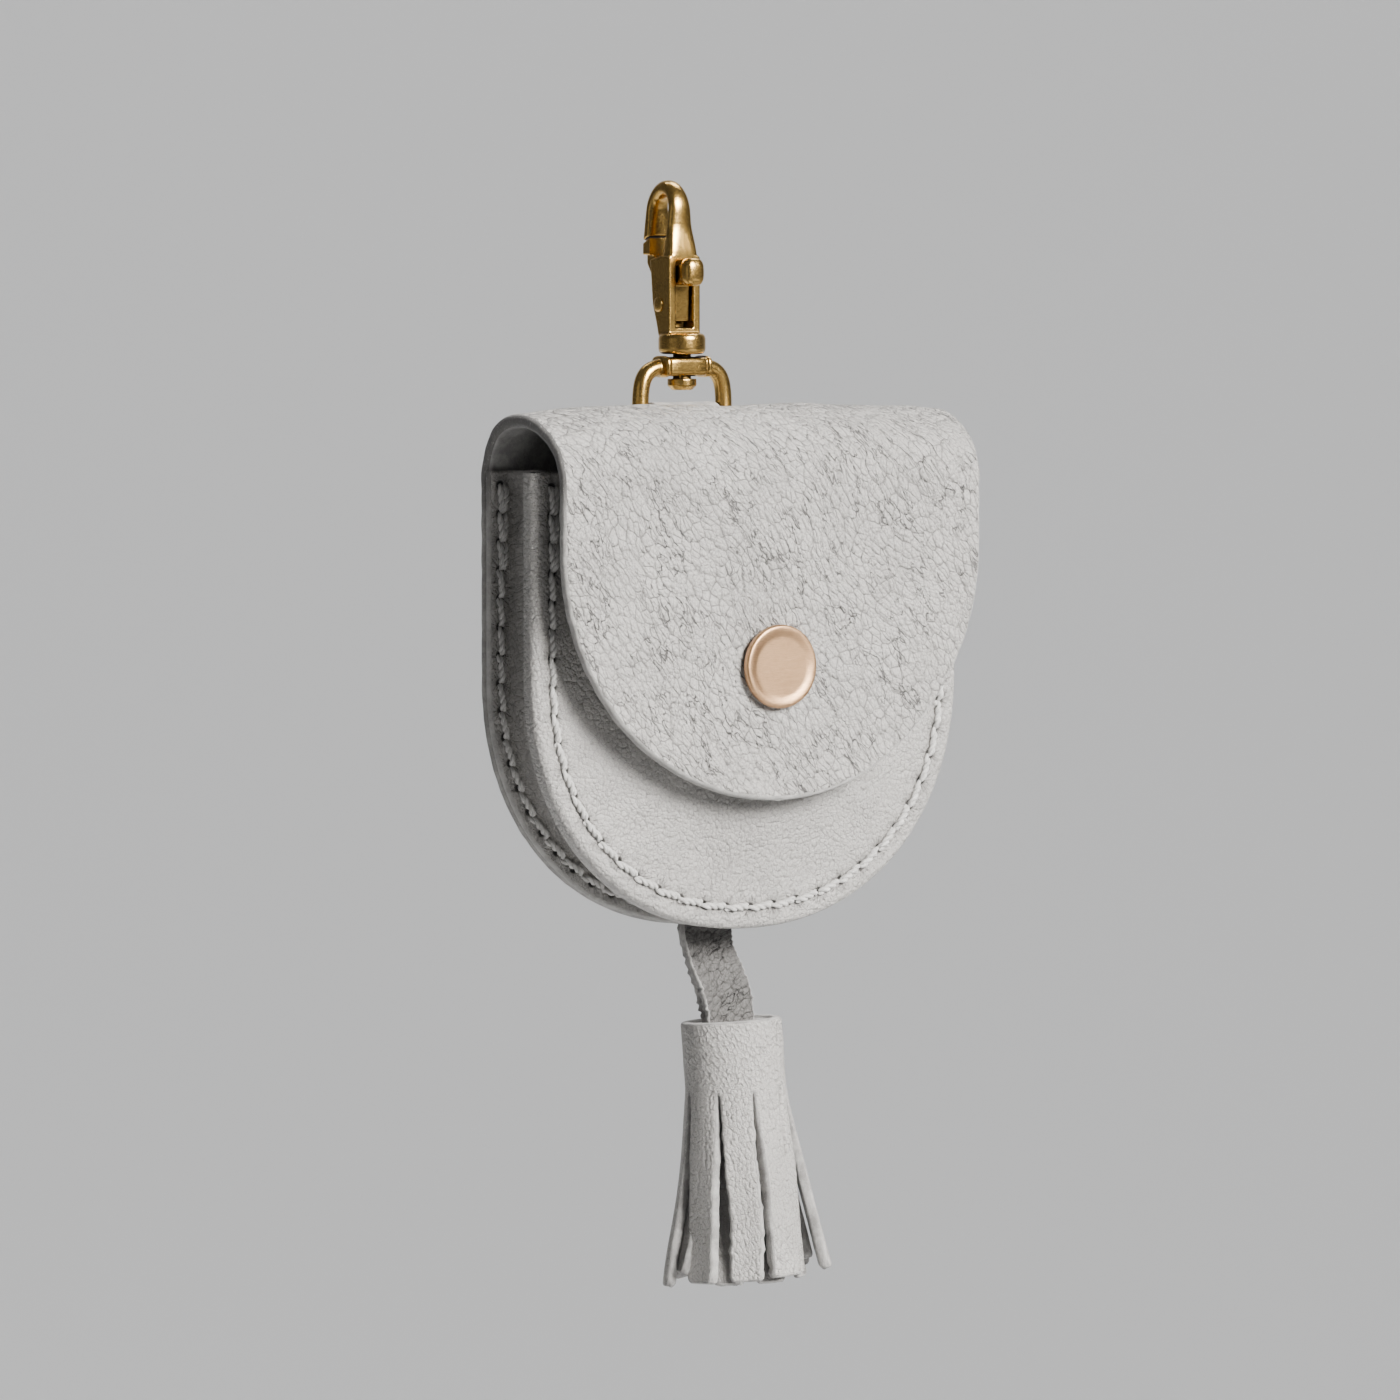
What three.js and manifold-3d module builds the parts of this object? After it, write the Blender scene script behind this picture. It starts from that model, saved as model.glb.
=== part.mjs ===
// A small round-bottomed leather pouch with a snap flap. A swivel clasp holds it by a tab at the
// back, and a leather tassel hangs below it. Millimetres, +Z up, and the front faces -Y.
// The origin is the inside top of the claw, where the pouch hangs.
import * as THREE from 'three';
import { mergeVertices } from 'three/addons/utils/BufferGeometryUtils.js';
import Module from 'manifold-3d';

const wasm = await Module();
wasm.setup();

// Driving dimensions: leather and clearance
const clearance = 0.3;
const hideThickness = 2.1;
const panelThickness = 2.0;
const gussetThickness = 1.4;
const tabThickness = 1.2;
const strapThickness = 3.2;

// Driving dimensions: pouch
const pouchHalfWidth = 38.8;
const pouchDepth = 15.4;
const pouchStraight = 31.4;
const bottomFullness = 2.15;
const flangeWidth = 5.2;
const flangeBend = 1.5;
const flangeSetback = 0.3;
const gussetSag = 1.0;
const frontBulge = 2.4;
const bulgeRun = 15;
const frontTopDrop = 1.0;

// Driving dimensions: flap, with the gap that the fastened snap keeps between flap and front panel
const flapInset = 0.8;
const flapDrop = 50;
const snapGap = 2.9;
const archRise = 8.7;
const archCrown = 1.1;
const tipKick = 1.6;
const tipKickRun = 14;

// Driving dimensions: snap
const snapRadius = 6.35;
const snapDrop = 29.8;
const snapStand = 1.85;
const snapDish = 0.5;
const snapRim = 1.1;
const snapPostRadius = 1.7;
const studRadius = 5.0;
const studBoreDepth = 1.3;
const studBackRadius = 4.5;
const studBackThickness = 0.8;

// Driving dimensions: clasp, downwards from the inside top of the claw
const clawGap = 4.3;
const clawArm = 1.9;
const clawCrown = 2.6;
const clawTipReach = 5.9;
const clawDepth = 9.0;
const gateThickness = 1.9;
const hookLength = 20.9;
const hookWidth = 5.7;
const slotWidth = 3.2;
const slotTopGap = 0.8;
const slotBottomGap = 0.8;
const spineStep = 0.6;
const cheekTopDepth = 5.5;
const cheekWaistDepth = 4.8;
const cheekFootDepth = 3.2;
const pinRadius = 0.75;
const pinProud = 0.25;
const pinDrop = 16.5;
const pinSetback = 3.0;
const gateHubRadius = 1.9;
const knobHalfWidth = 1.65;
const knobHalfDepth = 1.6;
const knobHalfHeight = 2.25;
const knobStand = 2.1;
const knobDrop = 11.5;
const collarRadius = 3.65;
const collarHeight = 3.2;
const collarEase = 0.5;
const rivetRadius = 1.4;
const rivetHeadRadius = 2.25;
const rivetHeadHeight = 1.7;
const rivetSink = 2.6;

// Driving dimensions: loop and tab
const wireRadius = 1.3;
const loopInnerWidth = 12.7;
const loopCorner = 1.8;
const blockWidth = 7.2;
const blockDepth = 4.8;
const blockHeight = 3.2;
const blockCorner = 1.1;
const headToTab = 1.8;
const mouthBelowBar = 7.1;
const tabSewnDrop = 7.5;
const tabBelowMouth = 17;

// Driving dimensions: strap and tassel
const strapWidth = 9.8;
const strapSewn = 4.6;
const strapDrop = 14.5;
const strapInHead = 3.0;
const strapBayMargin = 5;
const strapBayFade = 9;
const tasselShiftX = 2.6;
const tasselShiftY = -2.6;
const tasselLean = THREE.MathUtils.degToRad(4);
const headRadius = 7.75;
const headHeight = 10.2;
const headEase = 0.6;
const stripThickness = 1.7;
const stripWidth = 4.6;
const stripLength = 30;
const stripSplay = 4.6;

// Levels on the clasp's swivel axis
const collarBottomZ = -hookLength - collarHeight;
const blockTopZ = collarBottomZ - clearance;
const blockBottomZ = blockTopZ - blockHeight;
const rivetBottomZ = blockBottomZ - clearance - rivetHeadHeight;
const tabInnerRadius = wireRadius + clearance;
const tabOuterRadius = tabInnerRadius + tabThickness;
const barZ = rivetBottomZ - headToTab - tabOuterRadius;
const mouthZ = barZ - mouthBelowBar;
const flapHalfWidth = pouchHalfWidth - flapInset;
const archDepth = pouchDepth + frontBulge + snapGap + hideThickness;
const bottomCentreZ = mouthZ - pouchStraight;
const pouchBottomZ = bottomCentreZ - pouchHalfWidth;
const flapTipZ = mouthZ - flapDrop;
const flapCentreZ = flapTipZ + flapHalfWidth;
const snapZ = mouthZ - snapDrop;
const headTopZ = pouchBottomZ - strapDrop;

// Faces from back to front, measured from the swivel axis
const rearFaceY = -tabOuterRadius - clearance;
const backInnerY = rearFaceY - hideThickness;
const flangeFaceY = rearFaceY - pouchDepth;
const domeFaceY = flangeFaceY - frontBulge;
const flapFaceY = rearFaceY - archDepth;
const flapInnerY = flapFaceY + hideThickness;
const strapY = backInnerY - clearance - strapThickness / 2;
const gussetFrontY = flangeFaceY + panelThickness + clearance + gussetThickness / 2;
const gussetBackY = backInnerY - clearance - gussetThickness / 2;
const gussetMiddleY = (gussetFrontY + gussetBackY) / 2;

// The claw's profile, measured from the swivel axis
const armFrontY = -0.2;
const spineFrontY = armFrontY - spineStep;
const clawFrontY = armFrontY + clawArm;
const clawBackY = clawFrontY + clawGap;
const clawMiddleY = (clawFrontY + clawBackY) / 2;
const clawOuterY = clawBackY + gateThickness;
const pinY = spineFrontY + pinSetback;
const tipSwing = Math.hypot(clawBackY - pinY, pinDrop - clawTipReach);

// Mesh detail
const weld = 1e-4;
const endSteps = 11;
const endReach = THREE.MathUtils.degToRad(84);
const straightSteps = 4;
const archSteps = 14;
const outlineSteps = 30;
const columnShares = [-1, -0.9, -0.75, -0.5, -0.25, 0, 0.25, 0.5, 0.75, 0.9, 1];
const roundSides = 28;
const wireSides = 10;
const wireSteps = 40;

// Geometry helpers

// Welds a closed geometry's points, drops empty triangles and turns its faces outwards.
function closed(geometry) {
  const plain = new THREE.BufferGeometry();
  plain.setAttribute('position', geometry.getAttribute('position'));
  plain.setIndex(geometry.index);
  const welded = mergeVertices(plain, weld);
  const points = welded.getAttribute('position');
  const corner = [0, 1, 2].map(() => new THREE.Vector3());
  const kept = [];
  let volume = 0;
  for (let at = 0; at < welded.index.count; at += 3) {
    const ids = [0, 1, 2].map((step) => welded.index.getX(at + step));
    if (ids[0] === ids[1] || ids[1] === ids[2] || ids[2] === ids[0]) continue;
    ids.forEach((id, step) => corner[step].fromBufferAttribute(points, id));
    volume += corner[0].dot(corner[1].clone().cross(corner[2]));
    kept.push(ids);
  }
  const facing = volume < 0 ? kept.map(([a, b, c]) => [a, c, b]) : kept;
  welded.setIndex(facing.flat());
  return welded;
}

function toManifold(geometry) {
  const solid = closed(geometry);
  return new wasm.Manifold(new wasm.Mesh({
    numProp: 3,
    vertProperties: Float32Array.from(solid.getAttribute('position').array),
    triVerts: Uint32Array.from(solid.index.array),
  }));
}

function fromManifold(solid) {
  const { vertProperties, triVerts } = solid.getMesh();
  const geometry = new THREE.BufferGeometry();
  geometry.setAttribute('position', new THREE.BufferAttribute(vertProperties, 3));
  geometry.setIndex(new THREE.BufferAttribute(triVerts, 1));
  return geometry;
}

function join(...geometries) {
  return fromManifold(geometries.map(toManifold).reduce((sum, next) => sum.add(next)));
}

function cut(geometry, ...tools) {
  return fromManifold(tools.map(toManifold).reduce((rest, tool) => rest.subtract(tool), toManifold(geometry)));
}

function overlap(first, second) {
  return fromManifold(toManifold(first).intersect(toManifold(second)));
}

// The closed wall between two grids of points, row by row, that lie one thickness apart.
// With a shared core, the last column meets itself and gets no edge.
function wallBetween(face, back, sharedCore = false) {
  const corners = [];
  const quad = (a, b, c, d) => corners.push(a, b, c, a, c, d);
  const lastRow = face.length - 1;
  const lastColumn = face[0].length - 1;
  for (let i = 0; i < lastRow; i += 1) {
    for (let j = 0; j < lastColumn; j += 1) {
      quad(face[i][j], face[i + 1][j], face[i + 1][j + 1], face[i][j + 1]);
      quad(back[i][j], back[i][j + 1], back[i + 1][j + 1], back[i + 1][j]);
    }
    quad(face[i + 1][0], face[i][0], back[i][0], back[i + 1][0]);
    if (!sharedCore) {
      quad(face[i][lastColumn], face[i + 1][lastColumn], back[i + 1][lastColumn], back[i][lastColumn]);
    }
  }
  for (let j = 0; j < lastColumn; j += 1) {
    quad(face[0][j], face[0][j + 1], back[0][j + 1], back[0][j]);
    quad(face[lastRow][j + 1], face[lastRow][j], back[lastRow][j], back[lastRow][j + 1]);
  }
  return closed(new THREE.BufferGeometry().setFromPoints(corners));
}

// A shape drawn in Y and Z, extruded across X about the middle plane.
function acrossX(shape, width, segments = 6) {
  const geometry = new THREE.ExtrudeGeometry(shape, {
    depth: width, bevelEnabled: false, curveSegments: segments,
  });
  geometry.translate(0, 0, -width / 2);
  const turn = new THREE.Matrix4().makeBasis(
    new THREE.Vector3(0, 1, 0), new THREE.Vector3(0, 0, 1), new THREE.Vector3(1, 0, 0));
  return geometry.applyMatrix4(turn);
}

// A shape drawn in X and Z, extruded along Y about a middle plane.
function acrossY(shape, width, middleY, segments = 6) {
  const geometry = new THREE.ExtrudeGeometry(shape, {
    depth: width, bevelEnabled: false, curveSegments: segments,
  });
  geometry.translate(0, 0, -width / 2);
  const turn = new THREE.Matrix4().makeBasis(
    new THREE.Vector3(1, 0, 0), new THREE.Vector3(0, 0, 1), new THREE.Vector3(0, -1, 0));
  return geometry.applyMatrix4(turn).translate(0, middleY, 0);
}

function polygon(points) {
  return new THREE.Shape(points.map(([a, b]) => new THREE.Vector2(a, b)));
}

// A body turned about Z from rows of radius and height.
function turnedZ(rows) {
  const profile = rows.map(({ radius, z }) => new THREE.Vector2(radius, z));
  return new THREE.LatheGeometry(profile, roundSides).rotateX(Math.PI / 2);
}

// A body turned about a line along Y at the snap, from rows of radius and depth.
function turnedAtSnap(rows) {
  const profile = rows.map(({ radius, y }) => new THREE.Vector2(radius, y));
  return new THREE.LatheGeometry(profile, roundSides).translate(0, 0, snapZ);
}

// A plain round tool along X, for pin holes.
function crossPin(radius, length) {
  return new THREE.CylinderGeometry(radius, radius, length, wireSides * 2)
    .rotateZ(Math.PI / 2).translate(0, pinY, -pinDrop);
}

// Pouch outline: a straight side above a full round end

function roundEnd(angle, fullness) {
  return {
    reach: Math.sin(angle) ** (2 / fullness),
    half: Math.cos(angle) ** (2 / fullness),
  };
}

// Rows round the outline, from the top left corner down, under and up to the top right.
// Each row has its edge point, the direction inwards and the core point that its line ends at.
function outlineRows(topZ) {
  const left = [];
  for (let step = 0; step < straightSteps; step += 1) {
    const z = THREE.MathUtils.lerp(topZ, bottomCentreZ, step / straightSteps);
    left.push({ x: -pouchHalfWidth, z, inX: 1, inZ: 0, coreZ: z });
  }
  const half = outlineSteps / 2;
  for (let step = 0; step <= half; step += 1) {
    const angle = (Math.PI / 2) * (step / half);
    const atEnd = step === half;
    const { reach, half: width } = roundEnd(atEnd ? Math.PI / 2 : angle, bottomFullness);
    const shareX = atEnd ? 0 : width;
    const inX = shareX ** (bottomFullness - 1);
    const inZ = reach ** (bottomFullness - 1);
    const size = Math.hypot(inX, inZ);
    left.push({
      x: -pouchHalfWidth * shareX,
      z: bottomCentreZ - pouchHalfWidth * reach,
      inX: inX / size,
      inZ: inZ / size,
      coreZ: bottomCentreZ,
    });
  }
  const right = left.slice(0, -1).reverse().map((row) => ({ ...row, x: -row.x, inX: -row.inX }));
  return [...left, ...right];
}

// Leather pieces

// Rows along the hide, up the back, over the arch and down the flap, on its outer face.
function hideRows() {
  const rows = [];
  const add = (y, z, halfWidth, crown = 0) => rows.push({ y, z, halfWidth, crown });
  for (let step = endSteps; step > 0; step -= 1) {
    const { reach, half } = roundEnd(endReach * (step / endSteps), bottomFullness);
    add(rearFaceY, bottomCentreZ - pouchHalfWidth * reach, pouchHalfWidth * half);
  }
  for (let step = 0; step < straightSteps; step += 1) {
    add(rearFaceY, THREE.MathUtils.lerp(bottomCentreZ, mouthZ, step / straightSteps), pouchHalfWidth);
  }
  for (let step = 0; step <= archSteps; step += 1) {
    const share = step / archSteps;
    const angle = Math.PI * share;
    const y = rearFaceY - (archDepth / 2) * (1 - Math.cos(angle));
    const halfWidth = THREE.MathUtils.lerp(pouchHalfWidth, flapHalfWidth, share);
    add(y, mouthZ + archRise * Math.sin(angle), halfWidth, archCrown * Math.sin(angle));
  }
  add(flapFaceY, (mouthZ + flapCentreZ) / 2, flapHalfWidth);
  for (let step = 0; step <= endSteps; step += 1) {
    const { reach, half } = roundEnd(endReach * (step / endSteps), 2);
    const z = flapCentreZ - flapHalfWidth * reach;
    const kicked = Math.max(0, flapTipZ + tipKickRun - z) / tipKickRun;
    add(flapFaceY - tipKick * kicked ** 2, z, flapHalfWidth * half);
  }
  return rows;
}

function backAndFlap() {
  const rows = hideRows();
  const face = [];
  const back = [];
  rows.forEach((row, at) => {
    const before = rows[Math.max(0, at - 1)];
    const after = rows[Math.min(rows.length - 1, at + 1)];
    const size = Math.hypot(after.y - before.y, after.z - before.z);
    const outY = (after.z - before.z) / size;
    const outZ = (before.y - after.y) / size;
    const line = (inset) => columnShares.map((share) => {
      const stand = row.crown * (1 - share ** 2) - inset;
      return new THREE.Vector3(share * row.halfWidth, row.y + outY * stand, row.z + outZ * stand);
    });
    face.push(line(0));
    back.push(line(hideThickness));
  });
  return cut(wallBetween(face, back), snapHole(flapFaceY, hideThickness));
}

// The hole that a snap's post passes through, in a wall whose face is at faceY.
function snapHole(faceY, thickness) {
  const radius = snapPostRadius + clearance;
  return turnedAtSnap([
    { radius: 0, y: faceY - thickness },
    { radius, y: faceY - thickness },
    { radius, y: faceY + 2 * thickness },
    { radius: 0, y: faceY + 2 * thickness },
  ]);
}

// How far the front panel stands proud of its flange, at a distance in from its edge.
function bulgeAt(distance) {
  const share = THREE.MathUtils.clamp((distance - flangeWidth) / bulgeRun, 0, 1);
  return frontBulge * (1 - Math.cos(Math.PI * share)) / 2;
}

function frontPanel() {
  const steps = [0, 0.5, 1].map((share) => share * flangeWidth);
  const rises = [0.2, 0.4, 0.6, 0.8, 1].map((share) => flangeWidth + share * bulgeRun);
  const face = [];
  const back = [];
  outlineRows(mouthZ - frontTopDrop).forEach((row) => {
    const run = Math.hypot(row.x, row.coreZ - row.z);
    const line = (inset) => [...steps, ...rises, run].map((distance) => {
      const share = distance / run;
      const y = flangeFaceY - bulgeAt(distance) + inset;
      return new THREE.Vector3(row.x * (1 - share), y, THREE.MathUtils.lerp(row.z, row.coreZ, share));
    });
    face.push(line(0));
    back.push(line(panelThickness));
  });
  return cut(wallBetween(face, back, true), snapHole(domeFaceY, panelThickness));
}

// The gusset's middle line across the pouch, as distance in from the outline and depth.
function gussetSection() {
  const bendAt = flangeWidth - flangeBend;
  const path = new THREE.Path();
  path.moveTo(flangeSetback, gussetFrontY);
  path.lineTo(bendAt, gussetFrontY);
  path.absarc(bendAt, gussetFrontY + flangeBend, flangeBend, -Math.PI / 2, 0);
  path.quadraticCurveTo(flangeWidth + 2 * gussetSag, gussetMiddleY, flangeWidth, gussetBackY - flangeBend);
  path.absarc(bendAt, gussetBackY - flangeBend, flangeBend, 0, Math.PI / 2);
  path.lineTo(flangeSetback, gussetBackY);
  return path.getPoints(2).map((point) => ({ inset: point.x, y: point.y }));
}

// How far the back flange gives way, at a place across the bottom, to let the strap in.
function strapBay(x) {
  const beyond = Math.abs(x) - strapWidth / 2 - strapBayMargin;
  return (strapThickness + clearance) * (1 - THREE.MathUtils.smoothstep(beyond, 0, strapBayFade));
}

function gusset() {
  const section = gussetSection();
  const face = [];
  const back = [];
  outlineRows(mouthZ).forEach((row) => {
    const onBottom = row.z < bottomCentreZ;
    const line = section.map(({ inset, y }) => {
      const share = THREE.MathUtils.smoothstep(y, gussetMiddleY, gussetBackY);
      return { inset, y: y - (onBottom ? strapBay(row.x) * share : 0) };
    });
    const offset = (side) => line.map((point, at) => {
      const before = line[Math.max(0, at - 1)];
      const after = line[Math.min(line.length - 1, at + 1)];
      const size = Math.hypot(after.inset - before.inset, after.y - before.y);
      const inset = point.inset - side * (after.y - before.y) / size;
      const y = point.y + side * (after.inset - before.inset) / size;
      return new THREE.Vector3(row.x + row.inX * inset, y, row.z + row.inZ * inset);
    });
    face.push(offset(gussetThickness / 2));
    back.push(offset(-gussetThickness / 2));
  });
  return wallBetween(face, back);
}

// A strip folded over the loop's bar, its two layers sewn together below and down the back panel.
function keeperTab() {
  const sewnRearY = -tabOuterRadius + 2 * tabThickness;
  const footZ = mouthZ - tabBelowMouth;
  const sewnZ = barZ - tabSewnDrop;
  const side = new THREE.Shape();
  side.moveTo(sewnRearY, footZ);
  side.lineTo(sewnRearY, sewnZ);
  side.bezierCurveTo(sewnRearY, sewnZ + tabSewnDrop * 0.4, tabOuterRadius, barZ - tabSewnDrop * 0.4,
    tabOuterRadius, barZ);
  side.absarc(0, barZ, tabOuterRadius, 0, Math.PI);
  side.lineTo(-tabOuterRadius, footZ);
  const hole = new THREE.Path();
  const holeFootZ = sewnZ + tabThickness;
  hole.moveTo(-tabInnerRadius, holeFootZ);
  hole.lineTo(-tabInnerRadius, barZ);
  hole.absarc(0, barZ, tabInnerRadius, Math.PI, 0, true);
  const creaseY = -tabInnerRadius + clearance;
  hole.bezierCurveTo(tabInnerRadius, barZ - tabSewnDrop * 0.35, creaseY, holeFootZ + tabSewnDrop * 0.35,
    creaseY, holeFootZ);
  side.holes.push(hole);
  const half = loopInnerWidth / 2 - clearance;
  const outline = new THREE.Shape();
  outline.moveTo(-half, barZ + 2 * tabOuterRadius);
  outline.lineTo(-half, footZ + half);
  outline.absarc(0, footZ + half, half, Math.PI, 2 * Math.PI);
  outline.lineTo(half, barZ + 2 * tabOuterRadius);
  const depth = 6 * tabOuterRadius;
  return overlap(acrossX(side, loopInnerWidth, 8), acrossY(outline, depth, 0, 10));
}

// The strap from its sewn end to the tassel's head, as a solid that may be grown on all sides.
function strapSolid(grow) {
  const tasselX = tasselShiftX;
  const tasselY = strapY + tasselShiftY;
  const sewn = new THREE.Vector3(0, strapY, pouchBottomZ + strapSewn);
  const edge = new THREE.Vector3(0, strapY, pouchBottomZ);
  const entry = new THREE.Vector3(tasselX, tasselY, headTopZ);
  const end = new THREE.Vector3(tasselX, tasselY, headTopZ - strapInHead - grow);
  const free = new THREE.CubicBezierCurve3(
    edge,
    edge.clone().setZ(pouchBottomZ - strapDrop / 3),
    entry.clone().setZ(headTopZ + strapDrop / 3),
    entry);
  const route = [sewn, ...free.getPoints(8), end];
  const half = strapWidth / 2 + grow;
  const columns = [-half, 0, half];
  const line = (side) => route.map((point, at) => {
    const before = route[Math.max(0, at - 1)];
    const after = route[Math.min(route.length - 1, at + 1)];
    const along = after.clone().sub(before).normalize();
    const out = new THREE.Vector3(1, 0, 0).cross(along).normalize();
    return columns.map((x) => point.clone().addScaledVector(out, side).add(new THREE.Vector3(x, 0, 0)));
  });
  const reach = strapThickness / 2 + grow;
  return wallBetween(line(reach), line(-reach));
}

// Strips cut from one rolled piece. Turn is degrees round the head from the front, clockwise seen
// from above; length, splay and drift are shares of the strip's length, splay and width.
const strips = [
  { turn: -90, length: 1.0, splay: 1.15, drift: 0.1 },
  { turn: -54, length: 0.98, splay: 0.55, drift: -0.1 },
  { turn: -18, length: 1.0, splay: 0.45, drift: 0.1 },
  { turn: 18, length: 0.97, splay: 0.6, drift: 0.15 },
  { turn: 54, length: 0.96, splay: 0.9, drift: 0.1 },
  { turn: 90, length: 0.93, splay: 1.5, drift: 0 },
  { turn: 126, length: 0.95, splay: 1.0, drift: -0.1 },
  { turn: 162, length: 0.97, splay: 0.6, drift: 0 },
  { turn: 198, length: 0.98, splay: 0.55, drift: 0.1 },
  { turn: 234, length: 0.99, splay: 0.9, drift: 0.1 },
];
const innerStrips = [
  { turn: -60, length: 0.95, splay: 0.35, drift: 0 },
  { turn: 10, length: 0.98, splay: 0.2, drift: 0 },
  { turn: 75, length: 0.96, splay: 0.7, drift: 0 },
  { turn: 150, length: 0.97, splay: 0.3, drift: 0 },
  { turn: 215, length: 0.95, splay: 0.4, drift: 0 },
];

// One hanging strip, in the tassel's own frame, with the head's underside at -headHeight.
function stripSolid({ turn, length, splay, drift }, rootRadius) {
  const steps = 5;
  const angle = THREE.MathUtils.degToRad(turn);
  const out = new THREE.Vector3(Math.sin(angle), -Math.cos(angle), 0);
  const side = new THREE.Vector3(Math.cos(angle), Math.sin(angle), 0);
  const line = (offset) => Array.from({ length: steps + 1 }, (unused, step) => {
    const share = step / steps;
    const z = -headHeight + stripThickness - share * (stripLength * length + stripThickness);
    const radius = rootRadius + stripSplay * splay * share ** 1.3 + offset;
    const shift = drift * stripWidth * share;
    return [-0.5, 0.5].map((place) => out.clone().multiplyScalar(radius)
      .addScaledVector(side, place * stripWidth + shift).setZ(z));
  });
  return wallBetween(line(stripThickness / 2), line(-stripThickness / 2));
}

function tassel() {
  const head = turnedZ([
    { radius: 0, z: 0 },
    { radius: headRadius - headEase, z: 0 },
    { radius: headRadius, z: -headEase },
    { radius: headRadius, z: -headHeight },
    { radius: 0, z: -headHeight },
  ]);
  const outerRadius = headRadius - stripThickness / 2 - 0.1;
  const innerRadius = outerRadius - 2 * stripThickness;
  const outer = strips.map((row) => stripSolid(row, outerRadius));
  const inner = innerStrips.map((row) => stripSolid(row, innerRadius));
  const body = join(head, ...outer, ...inner)
    .rotateY(-tasselLean)
    .translate(tasselShiftX, strapY + tasselShiftY, headTopZ);
  return cut(body, strapSolid(clearance));
}

// Snap

function snapCap() {
  const faceY = flapFaceY - snapStand;
  const underY = flapFaceY - clearance;
  const endY = flapInnerY + clearance + studBoreDepth - clearance;
  return turnedAtSnap([
    { radius: 0, y: faceY + snapDish },
    { radius: snapRadius - snapRim - 0.5, y: faceY + snapDish },
    { radius: snapRadius - snapRim, y: faceY + snapDish * 0.4 },
    { radius: snapRadius - snapRim * 0.6, y: faceY },
    { radius: snapRadius - snapRim * 0.2, y: faceY + snapDish * 0.4 },
    { radius: snapRadius, y: faceY + snapDish * 1.4 },
    { radius: snapRadius - snapRim * 0.3, y: underY },
    { radius: snapPostRadius, y: underY },
    { radius: snapPostRadius, y: endY },
    { radius: 0, y: endY },
  ]);
}

function snapStud() {
  const frontY = flapInnerY + clearance;
  const seatY = domeFaceY - clearance;
  const backY = domeFaceY + panelThickness + clearance;
  const boreRadius = snapPostRadius + clearance;
  return turnedAtSnap([
    { radius: 0, y: frontY + studBoreDepth },
    { radius: boreRadius, y: frontY + studBoreDepth },
    { radius: boreRadius, y: frontY },
    { radius: studRadius, y: frontY },
    { radius: studRadius, y: seatY },
    { radius: snapPostRadius, y: seatY },
    { radius: snapPostRadius, y: backY },
    { radius: studBackRadius, y: backY },
    { radius: studBackRadius, y: backY + studBackThickness },
    { radius: 0, y: backY + studBackThickness },
  ]);
}

// Clasp

function swivelLoop() {
  const half = loopInnerWidth / 2 + wireRadius;
  const topZ = (blockTopZ + blockBottomZ) / 2;
  const point = (x, z) => new THREE.Vector3(x, 0, z);
  const startX = blockWidth / 2 - wireRadius;
  const sideZ = barZ + loopCorner;
  const route = new THREE.CurvePath();
  route.add(new THREE.CubicBezierCurve3(
    point(-startX, topZ), point(-half * 0.9, topZ), point(-half, topZ - wireRadius), point(-half, sideZ)));
  route.add(new THREE.QuadraticBezierCurve3(
    point(-half, sideZ), point(-half, barZ), point(-half + loopCorner, barZ)));
  route.add(new THREE.LineCurve3(point(-half + loopCorner, barZ), point(half - loopCorner, barZ)));
  route.add(new THREE.QuadraticBezierCurve3(
    point(half - loopCorner, barZ), point(half, barZ), point(half, sideZ)));
  route.add(new THREE.CubicBezierCurve3(
    point(half, sideZ), point(half, topZ - wireRadius), point(half * 0.9, topZ), point(startX, topZ)));
  const section = new THREE.Shape().absarc(0, 0, wireRadius, 0, 2 * Math.PI);
  const wire = new THREE.ExtrudeGeometry(section, {
    steps: wireSteps, curveSegments: wireSides / 2, extrudePath: route, bevelEnabled: false,
  });
  const bore = turnedZ([
    { radius: 0, z: blockTopZ + blockHeight },
    { radius: rivetRadius + clearance, z: blockTopZ + blockHeight },
    { radius: rivetRadius + clearance, z: blockBottomZ - blockHeight },
    { radius: 0, z: blockBottomZ - blockHeight },
  ]);
  return cut(join(wire, eyeBlock()), bore);
}

function eyeBlock() {
  const halfX = blockWidth / 2;
  const halfY = blockDepth / 2;
  const outline = new THREE.Shape();
  outline.moveTo(-halfX + blockCorner, -halfY);
  outline.lineTo(halfX - blockCorner, -halfY);
  outline.absarc(halfX - blockCorner, -halfY + blockCorner, blockCorner, -Math.PI / 2, 0);
  outline.absarc(halfX - blockCorner, halfY - blockCorner, blockCorner, 0, Math.PI / 2);
  outline.absarc(-halfX + blockCorner, halfY - blockCorner, blockCorner, Math.PI / 2, Math.PI);
  outline.absarc(-halfX + blockCorner, -halfY + blockCorner, blockCorner, Math.PI, 1.5 * Math.PI);
  return new THREE.ExtrudeGeometry(outline, { depth: blockHeight, bevelEnabled: false, curveSegments: 4 })
    .translate(0, 0, blockBottomZ);
}

function swivelRivet() {
  const topZ = collarBottomZ + rivetSink;
  const seatZ = blockBottomZ - clearance;
  return turnedZ([
    { radius: 0, z: topZ },
    { radius: rivetRadius, z: topZ },
    { radius: rivetRadius, z: seatZ },
    { radius: rivetHeadRadius, z: seatZ },
    { radius: rivetHeadRadius, z: rivetBottomZ + rivetHeadHeight * 0.4 },
    { radius: rivetHeadRadius * 0.7, z: rivetBottomZ },
    { radius: 0, z: rivetBottomZ },
  ]);
}

// The level at which the joint of claw and gate lies, on a circle about the gate's pin.
function tipLevel(y, swing) {
  return -pinDrop + Math.sqrt(swing ** 2 - (y - pinY) ** 2);
}

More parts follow.
